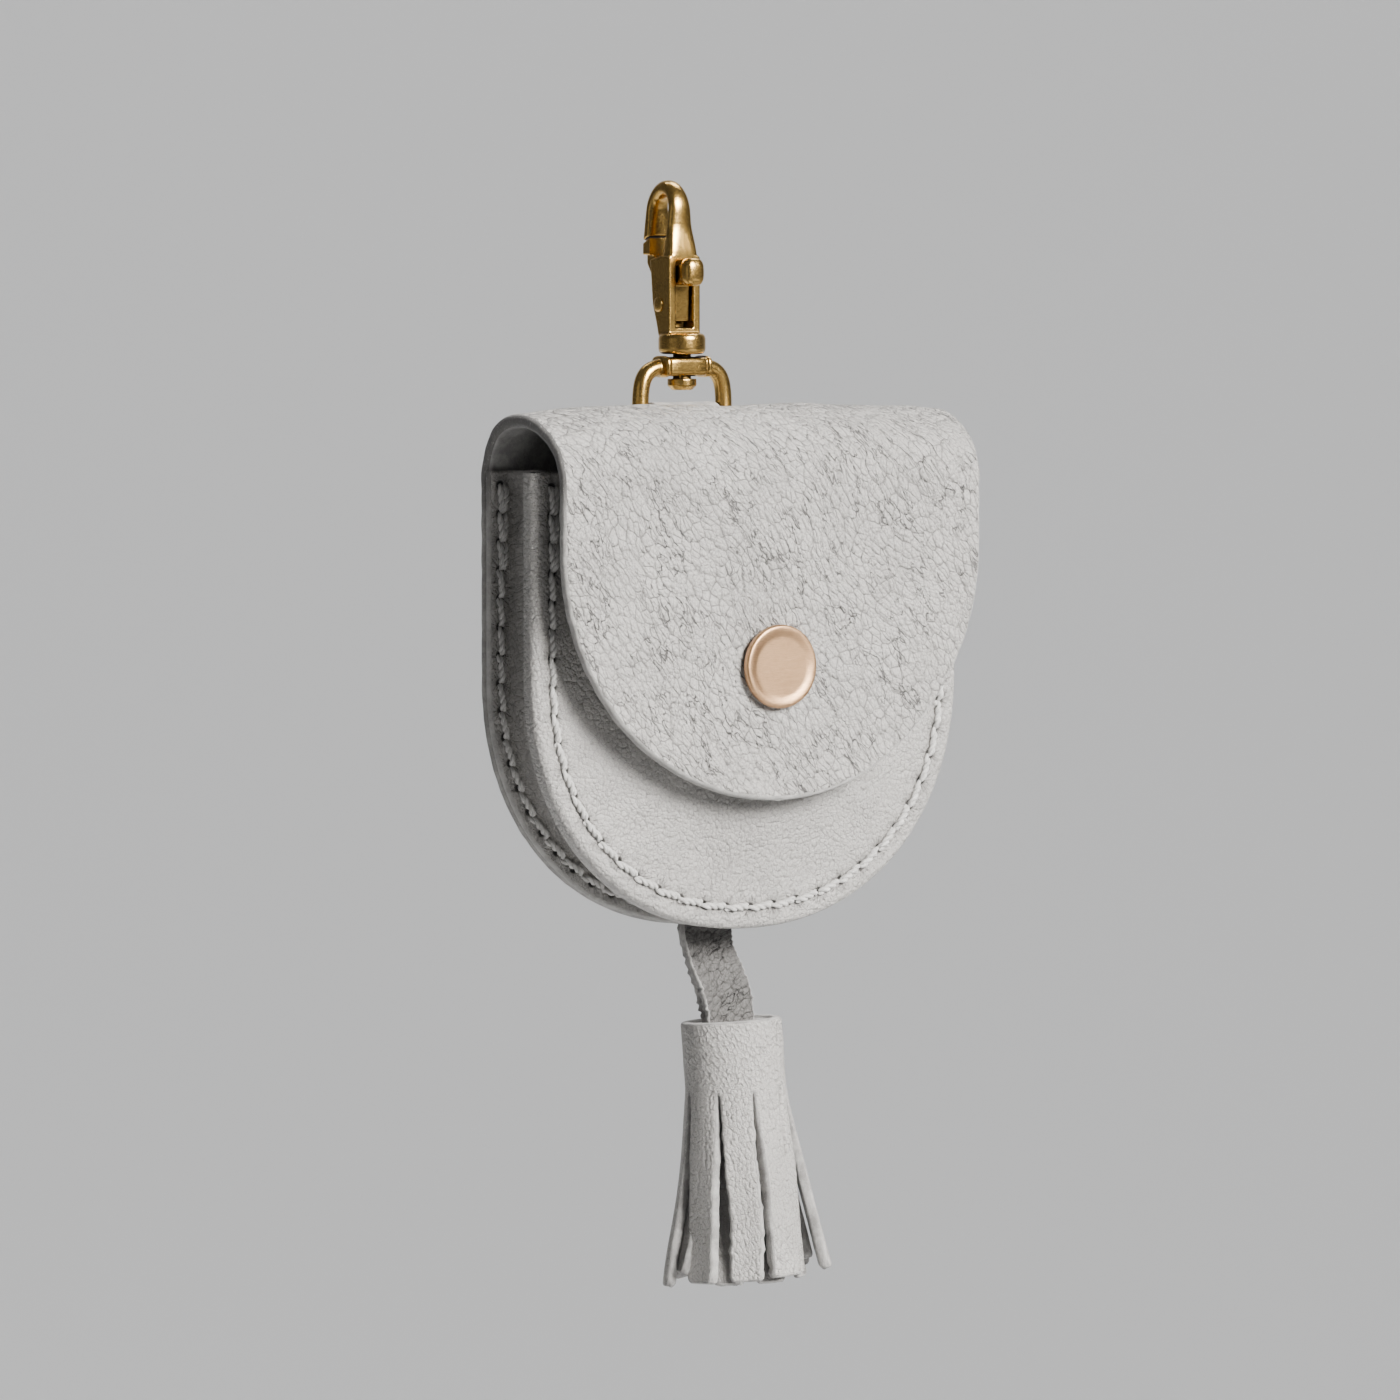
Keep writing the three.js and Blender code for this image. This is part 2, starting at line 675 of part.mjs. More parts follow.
// The side of the claw and the forked body, in Y and Z.
function hookSide() {
  const ringZ = -clawGap / 2;
  const side = new THREE.Shape();
  side.moveTo(spineFrontY, -hookLength - clearance);
  side.lineTo(spineFrontY, -clawDepth);
  side.lineTo(armFrontY, -clawDepth / 2);
  side.lineTo(armFrontY, ringZ);
  side.absellipse(clawMiddleY, ringZ, clawOuterY - clawMiddleY, clawCrown - ringZ, Math.PI, 0, true);
  side.lineTo(clawOuterY, tipLevel(clawOuterY, tipSwing));
  side.lineTo(clawBackY, -clawTipReach);
  side.lineTo(clawBackY, ringZ);
  side.absarc(clawMiddleY, ringZ, clawGap / 2, 0, Math.PI);
  side.lineTo(clawFrontY, -clawDepth);
  side.lineTo(spineFrontY + cheekTopDepth, -clawDepth - spineStep);
  side.lineTo(spineFrontY + cheekWaistDepth, -pinDrop);
  side.lineTo(spineFrontY + cheekFootDepth, -hookLength - clearance);
  return side;
}

// The front of the claw and body, in X and Z: rows of level and share of the full width.
const hookTaper = [
  { z: -hookLength - 1, share: 1 },
  { z: -clawDepth - 3, share: 1 },
  { z: -clawDepth, share: 0.88 },
  { z: -clawDepth / 2, share: 0.72 },
  { z: 0, share: 0.56 },
  { z: clawCrown + 1, share: 0.4 },
];

function hookBody() {
  const half = hookWidth / 2;
  const outline = polygon([
    ...hookTaper.map(({ z, share }) => [half * share, z]),
    ...[...hookTaper].reverse().map(({ z, share }) => [-half * share, z]),
  ]);
  const claw = overlap(acrossX(hookSide(), hookWidth, 10), acrossY(outline, 8 * clawOuterY, 0));
  const collar = turnedZ([
    { radius: 0, z: -hookLength },
    { radius: collarRadius - collarEase, z: -hookLength },
    { radius: collarRadius, z: -hookLength - collarEase },
    { radius: collarRadius, z: collarBottomZ + collarEase },
    { radius: collarRadius - collarEase, z: collarBottomZ },
    { radius: 0, z: collarBottomZ },
  ]);
  const slotFootZ = -hookLength + slotBottomGap;
  const frontSlot = polygon([
    [spineFrontY - hookWidth, slotFootZ], [clawOuterY + hookWidth, slotFootZ],
    [clawOuterY + hookWidth, -clawDepth - slotTopGap], [spineFrontY - hookWidth, -clawDepth - slotTopGap],
  ]);
  const backSlot = polygon([
    [clawFrontY, slotFootZ], [clawOuterY + hookWidth, slotFootZ],
    [clawOuterY + hookWidth, -clawDepth + clearance], [clawFrontY, -clawDepth + clearance],
  ]);
  const bore = turnedZ([
    { radius: 0, z: collarBottomZ + rivetSink + clearance },
    { radius: rivetRadius + clearance, z: collarBottomZ + rivetSink + clearance },
    { radius: rivetRadius + clearance, z: collarBottomZ - collarHeight },
    { radius: 0, z: collarBottomZ - collarHeight },
  ]);
  return cut(join(claw, collar), acrossX(frontSlot, slotWidth), acrossX(backSlot, slotWidth), bore,
    crossPin(pinRadius + clearance, 2 * hookWidth));
}

function hookGate() {
  const innerWidth = slotWidth - 2 * clearance;
  const tipOuterZ = tipLevel(clawOuterY, tipSwing - clearance);
  const tipInnerZ = tipLevel(clawBackY, tipSwing - clearance);
  const rootZ = -pinDrop + gateHubRadius * 0.5;
  const lever = acrossX(polygon([
    [pinY + gateHubRadius * 0.7, -pinDrop - gateHubRadius * 0.5],
    [clawBackY - 0.8, rootZ + 1.4],
    [clawOuterY, -clawDepth - 1.2],
    [clawOuterY, tipOuterZ],
    [clawBackY, tipInnerZ],
    [clawBackY, -clawDepth - 0.2],
    [pinY + 1.4, -pinDrop + 4.2],
    [spineFrontY - 0.8, -knobDrop + 1.2],
    [spineFrontY - 0.8, -knobDrop - 1.2],
    [pinY - gateHubRadius, -pinDrop],
  ]), innerWidth);
  const hub = crossPin(gateHubRadius, innerWidth);
  const tip = acrossX(polygon([
    [clawBackY, -clawDepth + 0.1], [clawOuterY, -clawDepth + 0.1],
    [clawOuterY, tipOuterZ], [clawBackY, tipInnerZ],
  ]), hookWidth * hookTaper[3].share);
  const knob = new THREE.SphereGeometry(1, 14, 10)
    .scale(knobHalfWidth, knobHalfDepth, knobHalfHeight)
    .translate(0, spineFrontY - knobStand, -knobDrop);
  return cut(join(lever, hub, tip, knob), crossPin(pinRadius + clearance, 2 * hookWidth));
}

function gatePin() {
  return crossPin(pinRadius, hookWidth + 2 * pinProud);
}

// Materials and the assembly

const leather = (color, roughness) => new THREE.MeshStandardMaterial({ color, roughness, metalness: 0 });
const metal = (color, roughness) => new THREE.MeshStandardMaterial({ color, roughness, metalness: 1 });

const pieces = [
  { name: 'back_and_flap', make: backAndFlap, material: leather(0xa39d97, 0.6) },
  { name: 'front_panel', make: frontPanel, material: leather(0x9c958f, 0.55) },
  { name: 'gusset', make: gusset, material: leather(0x857f7b, 0.65) },
  { name: 'keeper_tab', make: keeperTab, material: leather(0x928b86, 0.6) },
  { name: 'tassel_strap', make: () => strapSolid(0), material: leather(0x7f7975, 0.6) },
  { name: 'tassel', make: tassel, material: leather(0x8c8681, 0.65) },
  { name: 'snap_cap', make: snapCap, material: metal(0x8a5a42, 0.38) },
  { name: 'snap_stud', make: snapStud, material: metal(0x7d5640, 0.4) },
  { name: 'swivel_loop', make: swivelLoop, material: metal(0x8f7550, 0.36) },
  { name: 'hook_body', make: hookBody, material: metal(0x8f7550, 0.36) },
  { name: 'swivel_rivet', make: swivelRivet, material: metal(0x86704f, 0.4) },
  { name: 'hook_gate', make: hookGate, material: metal(0x8f7550, 0.36) },
  { name: 'gate_pin', make: gatePin, material: metal(0x86704f, 0.4) },
];

// The pieces are drawn about the swivel axis, and the claw's inside top lies behind it.
const group = new THREE.Group();
pieces.forEach(({ name, make, material }) => {
  const mesh = new THREE.Mesh(closed(make()), material);
  mesh.name = name;
  mesh.position.y = -clawMiddleY;
  group.add(mesh);
});

export default group;
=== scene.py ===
import math
import random

import bmesh
import bpy
import numpy as np
from mathutils import Matrix, Vector


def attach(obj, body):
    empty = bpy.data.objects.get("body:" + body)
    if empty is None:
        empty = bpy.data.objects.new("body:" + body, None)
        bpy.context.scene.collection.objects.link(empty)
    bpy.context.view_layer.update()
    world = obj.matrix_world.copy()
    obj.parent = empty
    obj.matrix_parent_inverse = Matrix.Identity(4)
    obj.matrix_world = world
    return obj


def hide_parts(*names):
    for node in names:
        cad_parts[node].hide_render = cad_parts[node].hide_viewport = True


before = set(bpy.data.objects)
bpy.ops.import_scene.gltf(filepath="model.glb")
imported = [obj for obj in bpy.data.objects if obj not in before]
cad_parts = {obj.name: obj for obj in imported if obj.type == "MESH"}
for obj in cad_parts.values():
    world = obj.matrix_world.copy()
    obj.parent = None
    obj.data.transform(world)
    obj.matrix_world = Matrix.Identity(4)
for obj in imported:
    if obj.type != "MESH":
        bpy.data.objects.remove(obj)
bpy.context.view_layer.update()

MM = 0.001
SWIVEL = np.array([0.0, -3.85, 0.0])
CLEAR = 0.3

# Shared sizes. FULLNESS is the power of the rounded foot, MOUTH the pocket's upper edge, CENTRE the level
# where the sides begin to close, REAR the back's outer face, and FLANGE the front's flat margin.
HALF = 38.8
FULLNESS = 2.15
MOUTH = -41.3
CENTRE = -72.7
FOOT = CENTRE - HALF
REAR = -3.1
HIDE = 2.1
BACK_INNER = REAR - HIDE
FLANGE = -18.5
DOME = -20.9
PANEL = 2.0
GUSSET = 1.4
FLAP_HALF = 38.0
FLAP_FACE = -25.9
FLAP_TIP = -91.3
FLAP_CENTRE = FLAP_TIP + FLAP_HALF
KICK, KICK_RUN = 1.6, 14.0
SNAP_Z = -71.1
BAR = -34.2
STRAP_Y = -7.1
HEAD_TOP = -126.0
TASSEL_X = 2.6
TASSEL_Y = STRAP_Y - 2.6
PITCH = 4.3
FRONT_MARGIN = 3.3
BACK_MARGIN = 2.1
BACK_FLANGE = BACK_INNER + 0.62 - 1.2
VIEW_OUT = np.array([-0.552, -0.834, 0.0])
VIEW_RIGHT = np.array([0.834, -0.552, 0.0])

# Steps in from a cut edge, close enough together to round it off
EDGE_STEPS = np.array([0.0, 0.04, 0.12, 0.24, 0.40, 0.62, 0.95, 1.4, 1.95, 2.5, 3.05, 3.7, 4.4])
NARROW_STEPS = np.array([0.0, 0.05, 0.14, 0.28, 0.5, 0.85])

rng = np.random.default_rng(7)
random.seed(7)


# Numbers and grids

def smoothstep(value, low, high):
    share = np.clip((value - low) / (high - low), 0.0, 1.0)
    return share * share * (3 - 2 * share)


class Ripple:
    """Smooth random waves over a plane, about -1 to 1."""

    def __init__(self, length, count=14):
        angle = rng.uniform(0, 2 * math.pi, count)
        size = 2 * math.pi / (length * rng.uniform(0.7, 1.5, count))
        self.kx, self.ky = size * np.cos(angle), size * np.sin(angle)
        self.phase = rng.uniform(0, 2 * math.pi, count)
        self.scale = 1.6 / math.sqrt(count)

    def __call__(self, x, y):
        x, y = np.asarray(x, float), np.asarray(y, float)
        waves = np.sin(x[..., None] * self.kx + y[..., None] * self.ky + self.phase)
        return waves.sum(-1) * self.scale / 1.2


def run_of(points):
    """Length along a line of points, from its start to each of them."""
    return np.concatenate([[0], np.cumsum(np.linalg.norm(np.diff(points, axis=0), axis=1))])


def bezier(a, b, c, d, count):
    t = np.linspace(0, 1, count)[:, None]
    a, b, c, d = (np.asarray(v, float) for v in (a, b, c, d))
    return a * (1 - t) ** 3 + 3 * b * t * (1 - t) ** 2 + 3 * c * t ** 2 * (1 - t) + d * t ** 3


def dimmed(colour, share):
    return tuple(min(1.0, value * share) for value in colour)


def unit(vectors):
    vectors = np.asarray(vectors, float)
    return vectors / np.maximum(np.linalg.norm(vectors, axis=-1, keepdims=True), 1e-12)


def row_frame(points):
    return (np.asarray(points, float) + SWIVEL) * MM


def placed(name, data):
    """A new object in the scene."""
    made = bpy.data.objects.new(name, data)
    bpy.context.scene.collection.objects.link(made)
    return made


def lay_uv(mesh, name, values):
    """A UV layer in millimetres from one pair of values a vertex."""
    layer = mesh.uv_layers.new(name=name)
    corner = np.empty(len(mesh.loops), dtype=np.int32)
    mesh.loops.foreach_get("vertex_index", corner)
    layer.data.foreach_set("uv", np.asarray(values, np.float32)[corner].ravel())


def volume_of(points, quads):
    a, b, c, d = (points[quads[:, k]] for k in range(4))
    return (np.einsum("ij,ij->i", a, np.cross(b, c)) + np.einsum("ij,ij->i", a, np.cross(c, d))).sum()


def mesh_piece(name, points, quads, slots, slot_of, layers=(), weld=False):
    points, quads = np.asarray(points, float), np.asarray(quads, int)
    if volume_of(points, quads) < 0:
        quads = quads[:, ::-1]
    mesh = bpy.data.meshes.new(name)
    faces = [list(dict.fromkeys(quad)) for quad in quads.tolist()]
    mesh.from_pydata(row_frame(points).tolist(), [], faces)
    for layer_name, values in layers:
        lay_uv(mesh, layer_name, values)
    for material in slots:
        mesh.materials.append(material)
    mesh.polygons.foreach_set("material_index", np.asarray(slot_of, np.int32))
    mesh.polygons.foreach_set("use_smooth", np.ones(len(mesh.polygons), dtype=bool))
    if weld:
        work = bmesh.new()
        work.from_mesh(mesh)
        bmesh.ops.remove_doubles(work, verts=work.verts, dist=1e-7)
        bmesh.ops.dissolve_degenerate(work, edges=work.edges, dist=1e-8)
        work.to_mesh(mesh)
        work.free()
    mesh.update()
    return placed(name, mesh)


def grid_quads(rows, columns):
    at = np.arange(rows * columns).reshape(rows, columns)
    return np.stack([at[:-1, :-1], at[1:, :-1], at[1:, 1:], at[:-1, 1:]], -1).reshape(-1, 4)


def closed_sheet(face, back, inset, edge_reach, rims=(True, True, True, True), skin=0):
    """Points, quads and slots of a sheet between two grids: slot 0 on the face unless skin says another,
    1 on the back, 2 on the cut edges. The rims that close it are left, right, top and bottom."""
    rows, columns = face.shape[:2]
    count = rows * columns
    at = np.arange(count).reshape(rows, columns)
    top = grid_quads(rows, columns)
    lines = [line for line, wanted in zip((at[:, 0], at[::-1, -1], at[0, ::-1], at[-1]), rims) if wanted]
    rim = np.concatenate([np.stack([line[1:], line[:-1], line[:-1] + count, line[1:] + count], -1)
                          for line in lines])
    quads = np.concatenate([top, top[:, ::-1] + count, rim])
    on_edge = inset.ravel()[top].mean(-1) < edge_reach
    slot_of = np.concatenate([np.where(on_edge, 2, skin), np.where(on_edge, 2, 1), np.full(len(rim), 2)])
    return np.concatenate([face.reshape(-1, 3), back.reshape(-1, 3)]), quads, slot_of


def twice(values):
    """One pair of values a grid point, for the face and again for the back."""
    return np.concatenate([values.reshape(-1, 2)] * 2)


def sheet_piece(name, face, back, uv, seam, slots, edge_reach=0.0, core=False):
    """A leather between two grids. With a core, its last column is one point and needs no rim."""
    points, quads, slot_of = closed_sheet(face, back, seam[..., 1], edge_reach, (True, not core, True, True))
    return mesh_piece(name, points, quads, slots, slot_of, (("grain", twice(uv)), ("seam", twice(seam))),
                      weld=core)


def normals_of(grid):
    down = np.gradient(grid, axis=0)
    across = np.gradient(grid, axis=1)
    return unit(np.cross(down, across))


def eased(distance, half, radius):
    """Half thickness near a cut edge whose corners are rounded off."""
    inside = np.clip(radius - distance, 0.0, radius)
    return half - radius + np.sqrt(np.maximum(radius ** 2 - inside ** 2, 0.0))


class Tubes:
    """Many round strands kept as one mesh."""

    def __init__(self):
        self.points, self.quads, self.along, self.count = [], [], [], 0

    def add(self, route, radius, sides=6):
        route = np.asarray(route, float)
        steps = len(route)
        ahead = unit(np.gradient(route, axis=0))
        guide = np.array([0.13, 0.31, 0.94])
        if abs(float(ahead[0] @ guide)) > 0.9:
            guide = np.array([0.94, 0.13, 0.31])
        first = unit(np.cross(ahead[0], guide))
        frames = [first]
        for step in range(1, steps):
            turned = frames[-1] - ahead[step] * float(frames[-1] @ ahead[step])
            frames.append(unit(turned))
        side = np.array(frames)
        other = np.cross(ahead, side)
        angle = np.linspace(0, 2 * math.pi, sides, endpoint=False)
        ring = route[:, None] + radius * (
            side[:, None] * np.cos(angle)[None, :, None] + other[:, None] * np.sin(angle)[None, :, None])
        points = np.concatenate([ring.reshape(-1, 3), route[:1], route[-1:]])
        base = np.arange(steps * sides).reshape(steps, sides)
        turn = np.roll(base, -1, axis=1)
        body = np.stack([base[:-1], turn[:-1], turn[1:], base[1:]], -1).reshape(-1, 4)
        start, end = steps * sides, steps * sides + 1
        caps = [[turn[0, k], base[0, k], start, start] for k in range(sides)]
        caps += [[base[-1, k], turn[-1, k], end, end] for k in range(sides)]
        quads = np.concatenate([body, np.array(caps)])
        length = run_of(route)
        spin = np.tile(angle / (2 * math.pi), steps)
        along = np.stack([np.repeat(length, sides), spin], -1)
        self.along.append(np.concatenate([along, [[0, 0], [length[-1], 0]]]))
        self.points.append(points)
        self.quads.append(quads + self.count)
        self.count += len(points)

    def piece(self, name, material):
        quads = np.concatenate(self.quads)
        along = np.concatenate(self.along)
        return mesh_piece(name, np.concatenate(self.points), quads, [material],
                          np.zeros(len(quads), int), (("grain", along),))


# The pouch outline, from the top left corner round the bottom to the top right

def outline(step=0.25, top=MOUTH):
    angles = np.linspace(0, math.pi / 2, 400)
    reach, half = np.sin(angles) ** (2 / FULLNESS), np.cos(angles) ** (2 / FULLNESS)
    half[-1] = 0.0
    left = np.concatenate([[[-HALF, top]], np.stack([-HALF * half, CENTRE - HALF * reach], -1)])
    points = np.concatenate([left, left[-2::-1] * [-1, 1]])
    run = run_of(points)
    count = int(round(run[-1] / step)) | 1
    at = np.linspace(0, run[-1], count)
    even = np.stack([np.interp(at, run, points[:, k]) for k in range(2)], -1)
    along = unit(np.gradient(even, axis=0))
    inward = np.stack([-along[:, 1], along[:, 0]], -1)
    return even, inward, at


def inset_of(x, z, half=HALF, fullness=FULLNESS, centre=CENTRE):
    """Distance in from the outline of a tongue: straight sides and a round end below its centre."""
    below = np.maximum(centre - z, 0.0)
    ax = np.abs(x)
    size = (ax ** fullness + below ** fullness) ** (1 / fullness)
    safe = np.maximum(size, 1e-6)
    slope = np.sqrt((ax / safe) ** (2 * fullness - 2) + (below / safe) ** (2 * fullness - 2))
    return np.where(below > 0, (half - size) / np.maximum(slope, 0.5), half - ax)


# Materials

class Graph:
    """A small shader graph. Inputs are given by name or place, as sockets or plain values."""

    def __init__(self, name):
        self.material = bpy.data.materials.new(name)
        self.material.use_nodes = True
        self.tree = self.material.node_tree
        self.tree.nodes.clear()

    def node(self, kind, inputs=(), **settings):
        node = self.tree.nodes.new("ShaderNode" + kind)
        for key, value in settings.items():
            setattr(node, key, value)
        for key, value in dict(inputs).items():
            if isinstance(value, bpy.types.NodeSocket):
                self.tree.links.new(value, node.inputs[key])
            else:
                node.inputs[key].default_value = value
        return node.outputs

    def math(self, operation, first, second=0.0, third=0.0):
        return self.node("Math", {0: first, 1: second, 2: third}, operation=operation)[0]

    def sum(self, first, *rest):
        for value in rest:
            first = self.math("ADD", first, value)
        return first

    def times(self, first, *rest):
        for value in rest:
            first = self.math("MULTIPLY", first, value)
        return first

    def span(self, value, low, high, start=0.0, end=1.0):
        return self.node("MapRange", {0: value, 1: low, 2: high, 3: start, 4: end},
                         interpolation_type="SMOOTHSTEP")[0]

    def mix(self, share, first, second, blend="MIX"):
        as_colour = [value if isinstance(value, bpy.types.NodeSocket) else (*value, 1.0)
                     for value in (first, second)]
        return self.node("Mix", {0: share, 6: as_colour[0], 7: as_colour[1]},
                         data_type="RGBA", blend_type=blend)[2]

    def uv(self, layer):
        return self.node("UVMap", uv_map=layer)[0]

    def place(self):
        scaled = self.node("VectorMath", {0: self.node("TexCoord")["Object"], 3: 1000.0}, operation="SCALE")
        return scaled[0]

    def moved(self, vector, scale=(1, 1, 1), turn=0.0, shift=(0, 0, 0)):
        return self.node("Mapping", {"Vector": vector, "Scale": scale, "Rotation": (0, 0, turn),
                                     "Location": shift})[0]

    def noise(self, vector, scale, detail=3.0, roughness=0.5, distortion=0.0):
        return self.node("TexNoise", {"Vector": vector, "Scale": scale, "Detail": detail,
                                      "Roughness": roughness, "Distortion": distortion})

    def warped(self, vector, scale, reach):
        """The vector pushed about by smooth noise, by up to about reach."""
        push = self.node("VectorMath", {0: self.noise(vector, scale, 2.0)["Color"], 1: (-0.5, -0.5, -0.5)},
                         operation="ADD")[0]
        push = self.node("VectorMath", {0: push, 3: 2.0 * reach}, operation="SCALE")[0]
        return self.node("VectorMath", {0: vector, 1: push}, operation="ADD")[0]

    def cells(self, vector, scale, feature="DISTANCE_TO_EDGE", solid=False):
        return self.node("TexVoronoi", {"Vector": vector, "Scale": scale}, feature=feature,
                         voronoi_dimensions="3D" if solid else "2D")

    def dome(self, vector, solid=False):
        """1 in the middle of each cell, falling off like a round pebble."""
        reach = self.cells(vector, 1.0, "F1", solid)["Distance"]
        return self.math("SUBTRACT", 1.0, self.times(reach, reach, 1.25))

    def bump(self, height, distance, strength=1.0, normal=None):
        inputs = {"Height": height, "Distance": distance * MM, "Strength": strength}
        if normal is not None:
            inputs["Normal"] = normal
        return self.node("Bump", inputs)[0]

    def finish(self, **sockets):
        named = {key.replace("_", " "): value for key, value in sockets.items()}
        for key, value in named.items():
            if key.endswith("Color") or key.endswith("Tint"):
                if not isinstance(value, bpy.types.NodeSocket):
                    named[key] = (*value, 1.0)
        shader = self.node("BsdfPrincipled", named)
        self.node("OutputMaterial", {"Surface": shader[0]})
        return self.material


def pinch(graph, margin, pitch):
    """Marks that sewing leaves: a hole at each stitch end and fine creases round it, as masks for their dents and
    for the painted shade in them.
    """
    split = graph.node("SeparateXYZ", {0: graph.uv("seam")})
    share = graph.math("DIVIDE", split[0], pitch)
    near = graph.times(graph.math("SUBTRACT", graph.math("FRACT", share), 0.5), pitch)
    off = graph.math("SUBTRACT", split[1], margin)
    reach = graph.math("SQRT", graph.sum(graph.times(near, near), graph.times(off, off)))
    hole = graph.times(graph.span(reach, 0.85, 0.45), graph.math("GREATER_THAN", split[0], pitch * 0.5 - 1.0))
    ring = graph.node("CombineXYZ", {0: graph.times(graph.math("ARCTAN2", off, near), 3.4),
                                     1: graph.times(reach, 0.35),
                                     2: graph.times(graph.math("FLOOR", share), 3.7)})[0]
    lines = graph.noise(ring, 1.6, 2.0, 0.6)["Fac"]
    fade = graph.times(graph.span(reach, 2.9, 0.7), graph.span(graph.math("ABSOLUTE", off), 2.6, 1.2))
    return hole, graph.times(graph.math("SUBTRACT", lines, 0.5), fade)


def pebbled(name, base, size=1.7, stretch=1.5, turn=0.5, depth=0.36, fine=0.03, rough=0.50, seam=None,
            crease=1.0, dark=0.70, solid=False):
    """Grain leather: soft pebbles of one size in mm, thin creases that run one way and a fine even grain.
    Depth is the pebbles' height in mm, dark the tone of the painted shade in the creases and the fine grain's low
    spots, and seam a margin and pitch."""
    graph = Graph(name)
    flat = graph.place() if solid else graph.uv("grain")
    bent = graph.warped(graph.warped(flat, 0.05, 2.2), 0.5, 0.30)
    turned = graph.node("VectorRotate", {"Vector": bent, "Angle": turn}, rotation_type="Z_AXIS")[0]
    third = 1 / size if solid else 1.0
    large = graph.moved(turned, (1 / size, 1 / (size * stretch), third))
    edge = graph.cells(large, 1.0, solid=solid)["Distance"]
    small = graph.moved(graph.warped(turned, 1.1, 0.12), (1.9 / size, 1.9 / size / stretch ** 0.5, 1.9 * third))
    small_edge = graph.cells(small, 1.0, solid=solid)["Distance"]
    patch = graph.noise(flat, 0.16, 2.0)["Fac"]
    keep = graph.span(patch, 0.35, 0.62, 0.35, 1.0)
    ridge = graph.noise(graph.moved(turned, (1 / 2.1, 1 / 11.0, 1.0)), 1.0, 2.5, 0.6)["Fac"]
    ridge = graph.math("ABSOLUTE", graph.math("SUBTRACT", ridge, 0.5))
    streak = graph.noise(graph.moved(flat, shift=(40, 7, 0)), 0.12, 2.0)["Fac"]
    long_line = graph.times(graph.span(ridge, 0.020, 0.0), graph.span(streak, 0.36, 0.56), crease)
    line = graph.times(graph.span(edge, 0.085, 0.0), keep)
    small_line = graph.times(graph.span(small_edge, 0.13, 0.0), graph.span(keep, 1.0, 0.4, 0.45, 0.9))
    dome = graph.dome(large, solid)
    small_dome = graph.times(graph.dome(small, solid), 0.40)
    grain = graph.noise(flat, 2.6, 5.0, 0.72)["Fac"]
    height = graph.sum(dome, small_dome, graph.times(line, -0.16), graph.times(small_line, -0.07),
                       graph.times(long_line, -0.45))
    normal = graph.bump(height, depth)
    normal = graph.bump(grain, fine * 8, normal=normal)
    tone = graph.noise(flat, 0.07, 3.0, 0.6)["Fac"]
    colour = graph.mix(graph.span(tone, 0.3, 0.7), dimmed(base, 0.92), dimmed(base, 1.06))
    # Painted shade: the cells' edge lines, the long creases and the low spots of the fine grain are darkened
    # towards the crease tone.
    shade = dimmed(base, dark)
    crease_shade = graph.sum(graph.times(line, 0.50), graph.times(small_line, 0.30), graph.times(long_line, 0.75))
    colour = graph.mix(crease_shade, colour, shade)
    colour = graph.mix(graph.span(grain, 0.52, 0.34, 0.0, 0.30), colour, shade)
    if seam:
        hole, lines = pinch(graph, *seam)
        normal = graph.bump(lines, 0.8, normal=normal)
        normal = graph.bump(graph.times(hole, -1.0), 0.5, normal=normal)
        # Painted shade: the low sides of the pinch creases are darkened, and each needle hole is painted nearly
        # black as its shade.
        colour = graph.mix(graph.times(graph.span(lines, 0.02, -0.16), 0.65), colour, shade)
        colour = graph.mix(graph.times(hole, 0.93), colour, dimmed(base, 0.06))
    gloss = graph.span(grain, 0.30, 0.70, rough + 0.08, rough - 0.06)
    return graph.finish(Base_Color=colour, Roughness=gloss, Normal=normal, Specular_IOR_Level=0.45)


def suede(name, dark, light, nap=0.12, shade_above=None):
    """The flesh side and cut edges: matt, mottled and a little hairy. The last argument gives a darker tone,
    painted shade, for what lies above the pouch's mouth."""
    graph = Graph(name)
    where = graph.place()
    blotch = graph.noise(where, 0.45, 4.0, 0.65)["Fac"]
    hair = graph.noise(graph.moved(where, (1.0, 1.0, 0.55)), 3.6, 4.0, 0.7, 0.6)["Fac"]
    fleck = graph.span(hair, 0.56, 0.72)
    colour = graph.mix(graph.span(blotch, 0.36, 0.66), dark, tuple((a + b) / 2 for a, b in zip(dark, light)))
    colour = graph.mix(graph.times(fleck, 0.7), colour, light)
    if shade_above:
        # Painted shade: above the pouch's mouth the cut edges fade to the darker tone.
        level = graph.node("SeparateXYZ", {0: where})[2]
        shade = graph.mix(graph.times(fleck, 0.6), shade_above, light)
        colour = graph.mix(graph.span(level, MOUTH - 9, MOUTH - 1), colour, shade)
    normal = graph.bump(graph.sum(hair, graph.times(blotch, 0.6)), nap)
    return graph.finish(Base_Color=colour, Roughness=0.92, Normal=normal, Specular_IOR_Level=0.2,
                        Sheen_Weight=0.25, Sheen_Roughness=0.6)


def thread(name, base):
    graph = Graph(name)
    split = graph.node("SeparateXYZ", {0: graph.uv("grain")})
    lay = graph.node("CombineXYZ", {0: graph.sum(graph.times(split[1], 9.0), graph.times(split[0], 2.4)),
                                    1: graph.times(split[0], 0.4)})[0]
    fibre = graph.noise(lay, 1.6, 3.0, 0.6)["Fac"]
    # Painted shade: the low spots of the twist, which the bump also sinks, are darkened to half.
    colour = graph.mix(graph.span(fibre, 0.62, 0.34, 0.0, 0.8), base, dimmed(base, 0.5))
    return graph.finish(Base_Color=colour, Roughness=0.62, Normal=graph.bump(fibre, 0.06),
                        Specular_IOR_Level=0.35, Sheen_Weight=0.15, Sheen_Roughness=0.5)


